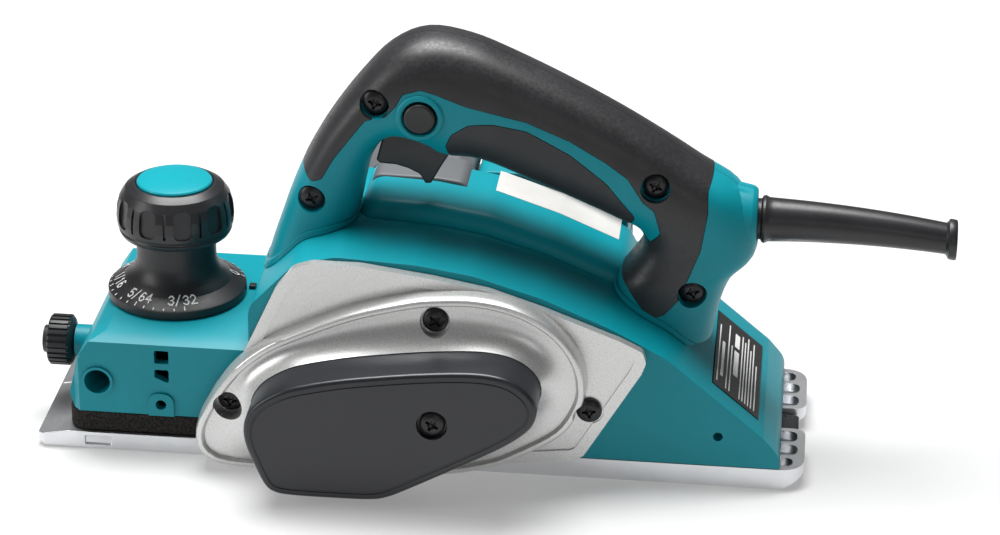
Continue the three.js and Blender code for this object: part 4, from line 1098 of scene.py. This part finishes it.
# ---- motor side ----
MOTOR_OUTLINE = [(16, 10, 5), (66, 10, 6), (71, 15, 6), (71, 84.5, 6), (12.5, 84.5, 6), (12.5, 73, 2), (-3, 55, 6),
                 (-3, 30, 8)]
CHUTE_OUTLINE = [(-31, 58, 3), (-3, 58, 2), (11, 75, 2), (11, 82, 3), (5, 86, 3), (-25, 86, 4), (-31, 80, 4)]
BRUSH_Y = 50.0


def make_motor_housing():
    outline = rounded(MOTOR_OUTLINE, 8)
    housing = loose_object(across(outline, FAR_FACE, 72, 0.6, 0.8, 3), "motor_barrel")
    for number in range(5):
        z = 22 + number * 10
        cut(housing, block((70.2, 56, z), (72, 70, z + 3)))
    room = across(rounded([(18, 62, 3), (67, 50, 3), (67, 80, 3), (18, 80, 3)]), 44, 80)
    cut(housing, rod("y", (MOTOR[0], 0, MOTOR[1]), 29.5, 30, 80, 72), room,
        rod("x", (0, BRUSH_Y, MOTOR[1]), 6.4, -10, 80, 40))
    finish_piece(housing, "root", TEAL, ["motor_housing"], edge=0.4, segments=3)


def make_motor_end_cap():
    outline = rounded(MOTOR_OUTLINE, 8)
    cap = loose_object(across(outline, 72.3, MOTOR_END, 0.5, 4.5, 6), "motor_cap")
    dish = [(0, MOTOR_END - 1.2), (18, MOTOR_END - 1.2), (20.5, MOTOR_END + 1), (0, MOTOR_END + 1)]
    cut(cap, turned(dish, "y", (MOTOR[0], 0, MOTOR[1]), 64), across(shrunk(MOTOR_OUTLINE, 3.5, 3), 71, MOTOR_END - 4))
    bearing_seat = [(9.3, 65.8), (12.5, 65.8), (12.5, MOTOR_END - 2), (9.3, MOTOR_END - 2)]
    join(cap, turned(bearing_seat, "y", (MOTOR[0], 0, MOTOR[1]), 48))
    for number in range(6):
        z = MOTOR[1] - 20 + number * 8
        slot = block((54.5, 70, z), (65.5, 90, z + 3.4))
        round_edges(slot, lambda e: abs(e.verts[0].co.y - e.verts[1].co.y) > 1, 1.6, 4)
        cut(cap, slot)
    for x, z in ((20, 77), (64, 77), (22, 17), (64, 17)):
        cut(cap, turned([(0, 78.5), (4.6, 78.5), (4.6, 90), (0, 90)], "y", (x, 0, z), 32))
    finish_piece(cap, "root", TEAL, ["motor_end_cap"], edge=0.4, segments=3)


def make_chip_chute():
    outline = rounded(CHUTE_OUTLINE, 8)
    chute = loose_object(across(outline, FAR_FACE, MOTOR_END, 0.5, 0.9, 3), "chip_spout")
    for start in (73.5, 77.5):
        ring = loose_object(across(shrunk(CHUTE_OUTLINE, -3, 4), start, start + 1.4), "ring")
        cut(ring, across(shrunk(CHUTE_OUTLINE, 0.7, 2.5), start - 1, start + 3))
        cut(chute, as_tool(ring))
    cut(chute, across(shrunk(CHUTE_OUTLINE, 2.2, 1.5), 30, 90))
    finish_piece(chute, "root", GREY, ["chip_chute"], edge=0.35, segments=3)


def make_bearing_cover():
    """The silver cover over the drum's far bearing, cut flat beside the motor and under the chute."""
    x, z = DRUM
    radius, points, lowest = 31, 96, 3
    turns = [2 * math.pi * i / points for i in range(points)]
    disc = [(x + radius * math.cos(turn), max(lowest, z + radius * math.sin(turn))) for turn in turns]
    cover = loose_object(across(disc, FAR_FACE, 44.5, 0, 1, 3), "far_bearing_cover")
    hub = turned(softened([(0, 44), (14.5, 44), (14.5, 50.5), (0, 50.5)], 1.2), "y", (x, 0, z), 64)
    join(cover, hub)
    dish = turned([(16.5, 44.0), (18, 43.7), (26, 43.7), (27.5, 44.0), (28, 46), (16, 46)], "y", (x, 0, z), 64)
    cut(cover, dish, rod("y", (x, 0, z), 11.3, 40, 48.7, 48), block((-4, 30, 0), (10, 60, 90)),
        block((-70, 30, 57.5), (10, 60, 90)))
    for angle in (200, 300):
        place = (x + 22 * math.cos(math.radians(angle)), 0, z + 22 * math.sin(math.radians(angle)))
        cut(cover, rod("y", place, 2.6, 43, 60, 24))
    finish_piece(cover, "root", SILVER, ["drum_bearing_cover"], edge=0.3)


def make_parking_foot():
    x, z = FOOT_PIVOT
    profile = rounded([(x - 3.4, 2, 2), (x - 3.4, 6.9, 2), (x + 6, 7, 1), (140, 5.8, 1), (140, 3.4, 1),
                       (x + 4, 2, 1)], 5)
    foot = loose_object(across(profile, -6.8, 6.8, 0.8, 0.8, 3), "rear_parking_foot")
    join(foot, rod("y", (x, 0, z), 1.4, -12.5, 12.5, 24))
    for number in range(4):
        cut(foot, block((x + 8 + number * 2.2, -5.2, 6.0), (x + 9 + number * 2.2, 5.2, 8)))
    finish_piece(foot, "foot", BLACK, ["parking_foot"], edge=0.25)


def make_warning_label():
    """A blank label along the raised back's top, beside the motor."""
    top = [p for p in rounded(HUMP) if p.y > 60 and 21.5 < p.x < 69]
    ridge = sorted(top, key=lambda p: p.x)
    near, far, under, over = 22.0, 40.4, 0.02, 0.14
    loops = [[(p.x, near, p.y + under), (p.x, far, p.y + under), (p.x, far, p.y + over), (p.x, near, p.y + over)]
             for p in ridge]
    finish_piece(loose_object(skinned(loops), "blank_label"), "root", LABEL)


# ---- pieces inside ----
NODE_FINISHES = {
    "drive_belt": RUBBER_FINE, "driven_pulley": STEEL, "motor_pulley": STEEL, "drum": STEEL,
    "armature_shaft": STEEL, "armature_core": WINDING, "commutator": COPPER, "cooling_fan": BLACK,
    "stator": WINDING, "rear_brush_holder": BLACK, "front_brush_holder": BLACK, "rear_carbon_brush": CARBON,
    "front_carbon_brush": CARBON, "rear_brush_cap": BLACK, "front_brush_cap": BLACK, "blade_1": BLADE_STEEL,
    "blade_2": BLADE_STEEL, "blade_clamp_1": STEEL, "blade_clamp_2": STEEL, "drum_near_bearing": STEEL,
    "drum_far_bearing": STEEL, "motor_near_bearing": STEEL, "motor_far_bearing": STEEL, "switch_body": BLACK,
    "adjusting_screw": STEEL}


def finish_nodes():
    """The pieces inside keep the frame's shapes and get their own finishes."""
    for name, finish in NODE_FINISHES.items():
        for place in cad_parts[name].material_slots:
            place.material = finish


# ---- stage ----
def make_stage():
    bpy.context.scene.view_settings.view_transform = "Standard"
    floor_material, _, shader = new_material("floor")
    shader.inputs["Base Color"].default_value = (0.52, 0.52, 0.52, 1)
    shader.inputs["Roughness"].default_value = 0.9
    shader.inputs["Emission Color"].default_value = (1, 1, 1, 1)
    shader.inputs["Emission Strength"].default_value = 0.25
    bm = bmesh.new()
    bmesh.ops.create_grid(bm, x_segments=1, y_segments=1, size=8000)
    floor = loose_object(bm, "floor")
    floor.location.z = -0.0005
    floor.data.materials.append(floor_material)
    world = bpy.data.worlds.new("studio")
    world.use_nodes = True
    background = world.node_tree.nodes["Background"]
    background.inputs["Color"].default_value = (1, 1, 1, 1)
    background.inputs["Strength"].default_value = 0.12
    bpy.context.scene.world = world
    for name, place, target, size, watts in (
            ("overhead", (-0.1, 0.25, 1.1), (0, 0, 0.05), (0.9, 0.6), 24),
            ("left", (-1.1, -0.45, 0.5), (-0.05, 0, 0.06), (0.5, 0.7), 4.5),
            ("front", (0.5, -1.3, 0.5), (0, 0, 0.05), (0.5, 0.3), 0.8)):
        data = bpy.data.lights.new(name, "AREA")
        data.shape = "RECTANGLE"
        data.size, data.size_y = size
        data.energy = watts
        lamp = bpy.data.objects.new(name, data)
        lamp.location = place
        lamp.rotation_euler = (Vector(target) - Vector(place)).to_track_quat("-Z", "Y").to_euler()
        bpy.context.scene.collection.objects.link(lamp)


make_camera()
make_stage()
make_front_base()
make_rear_base()
make_seal()
make_depth_spring()
make_front_housing()
make_main_housing()
make_chute_neck()
make_name_plate()
make_side_plate()
make_belt_cover()
make_screws()
make_handle()
make_base_lip()
make_trigger()
make_lock_button()
make_cord_guard()
make_knob()
make_fence_screw()
make_motor_housing()
make_motor_end_cap()
make_chip_chute()
make_bearing_cover()
make_parking_foot()
make_warning_label()
finish_nodes()
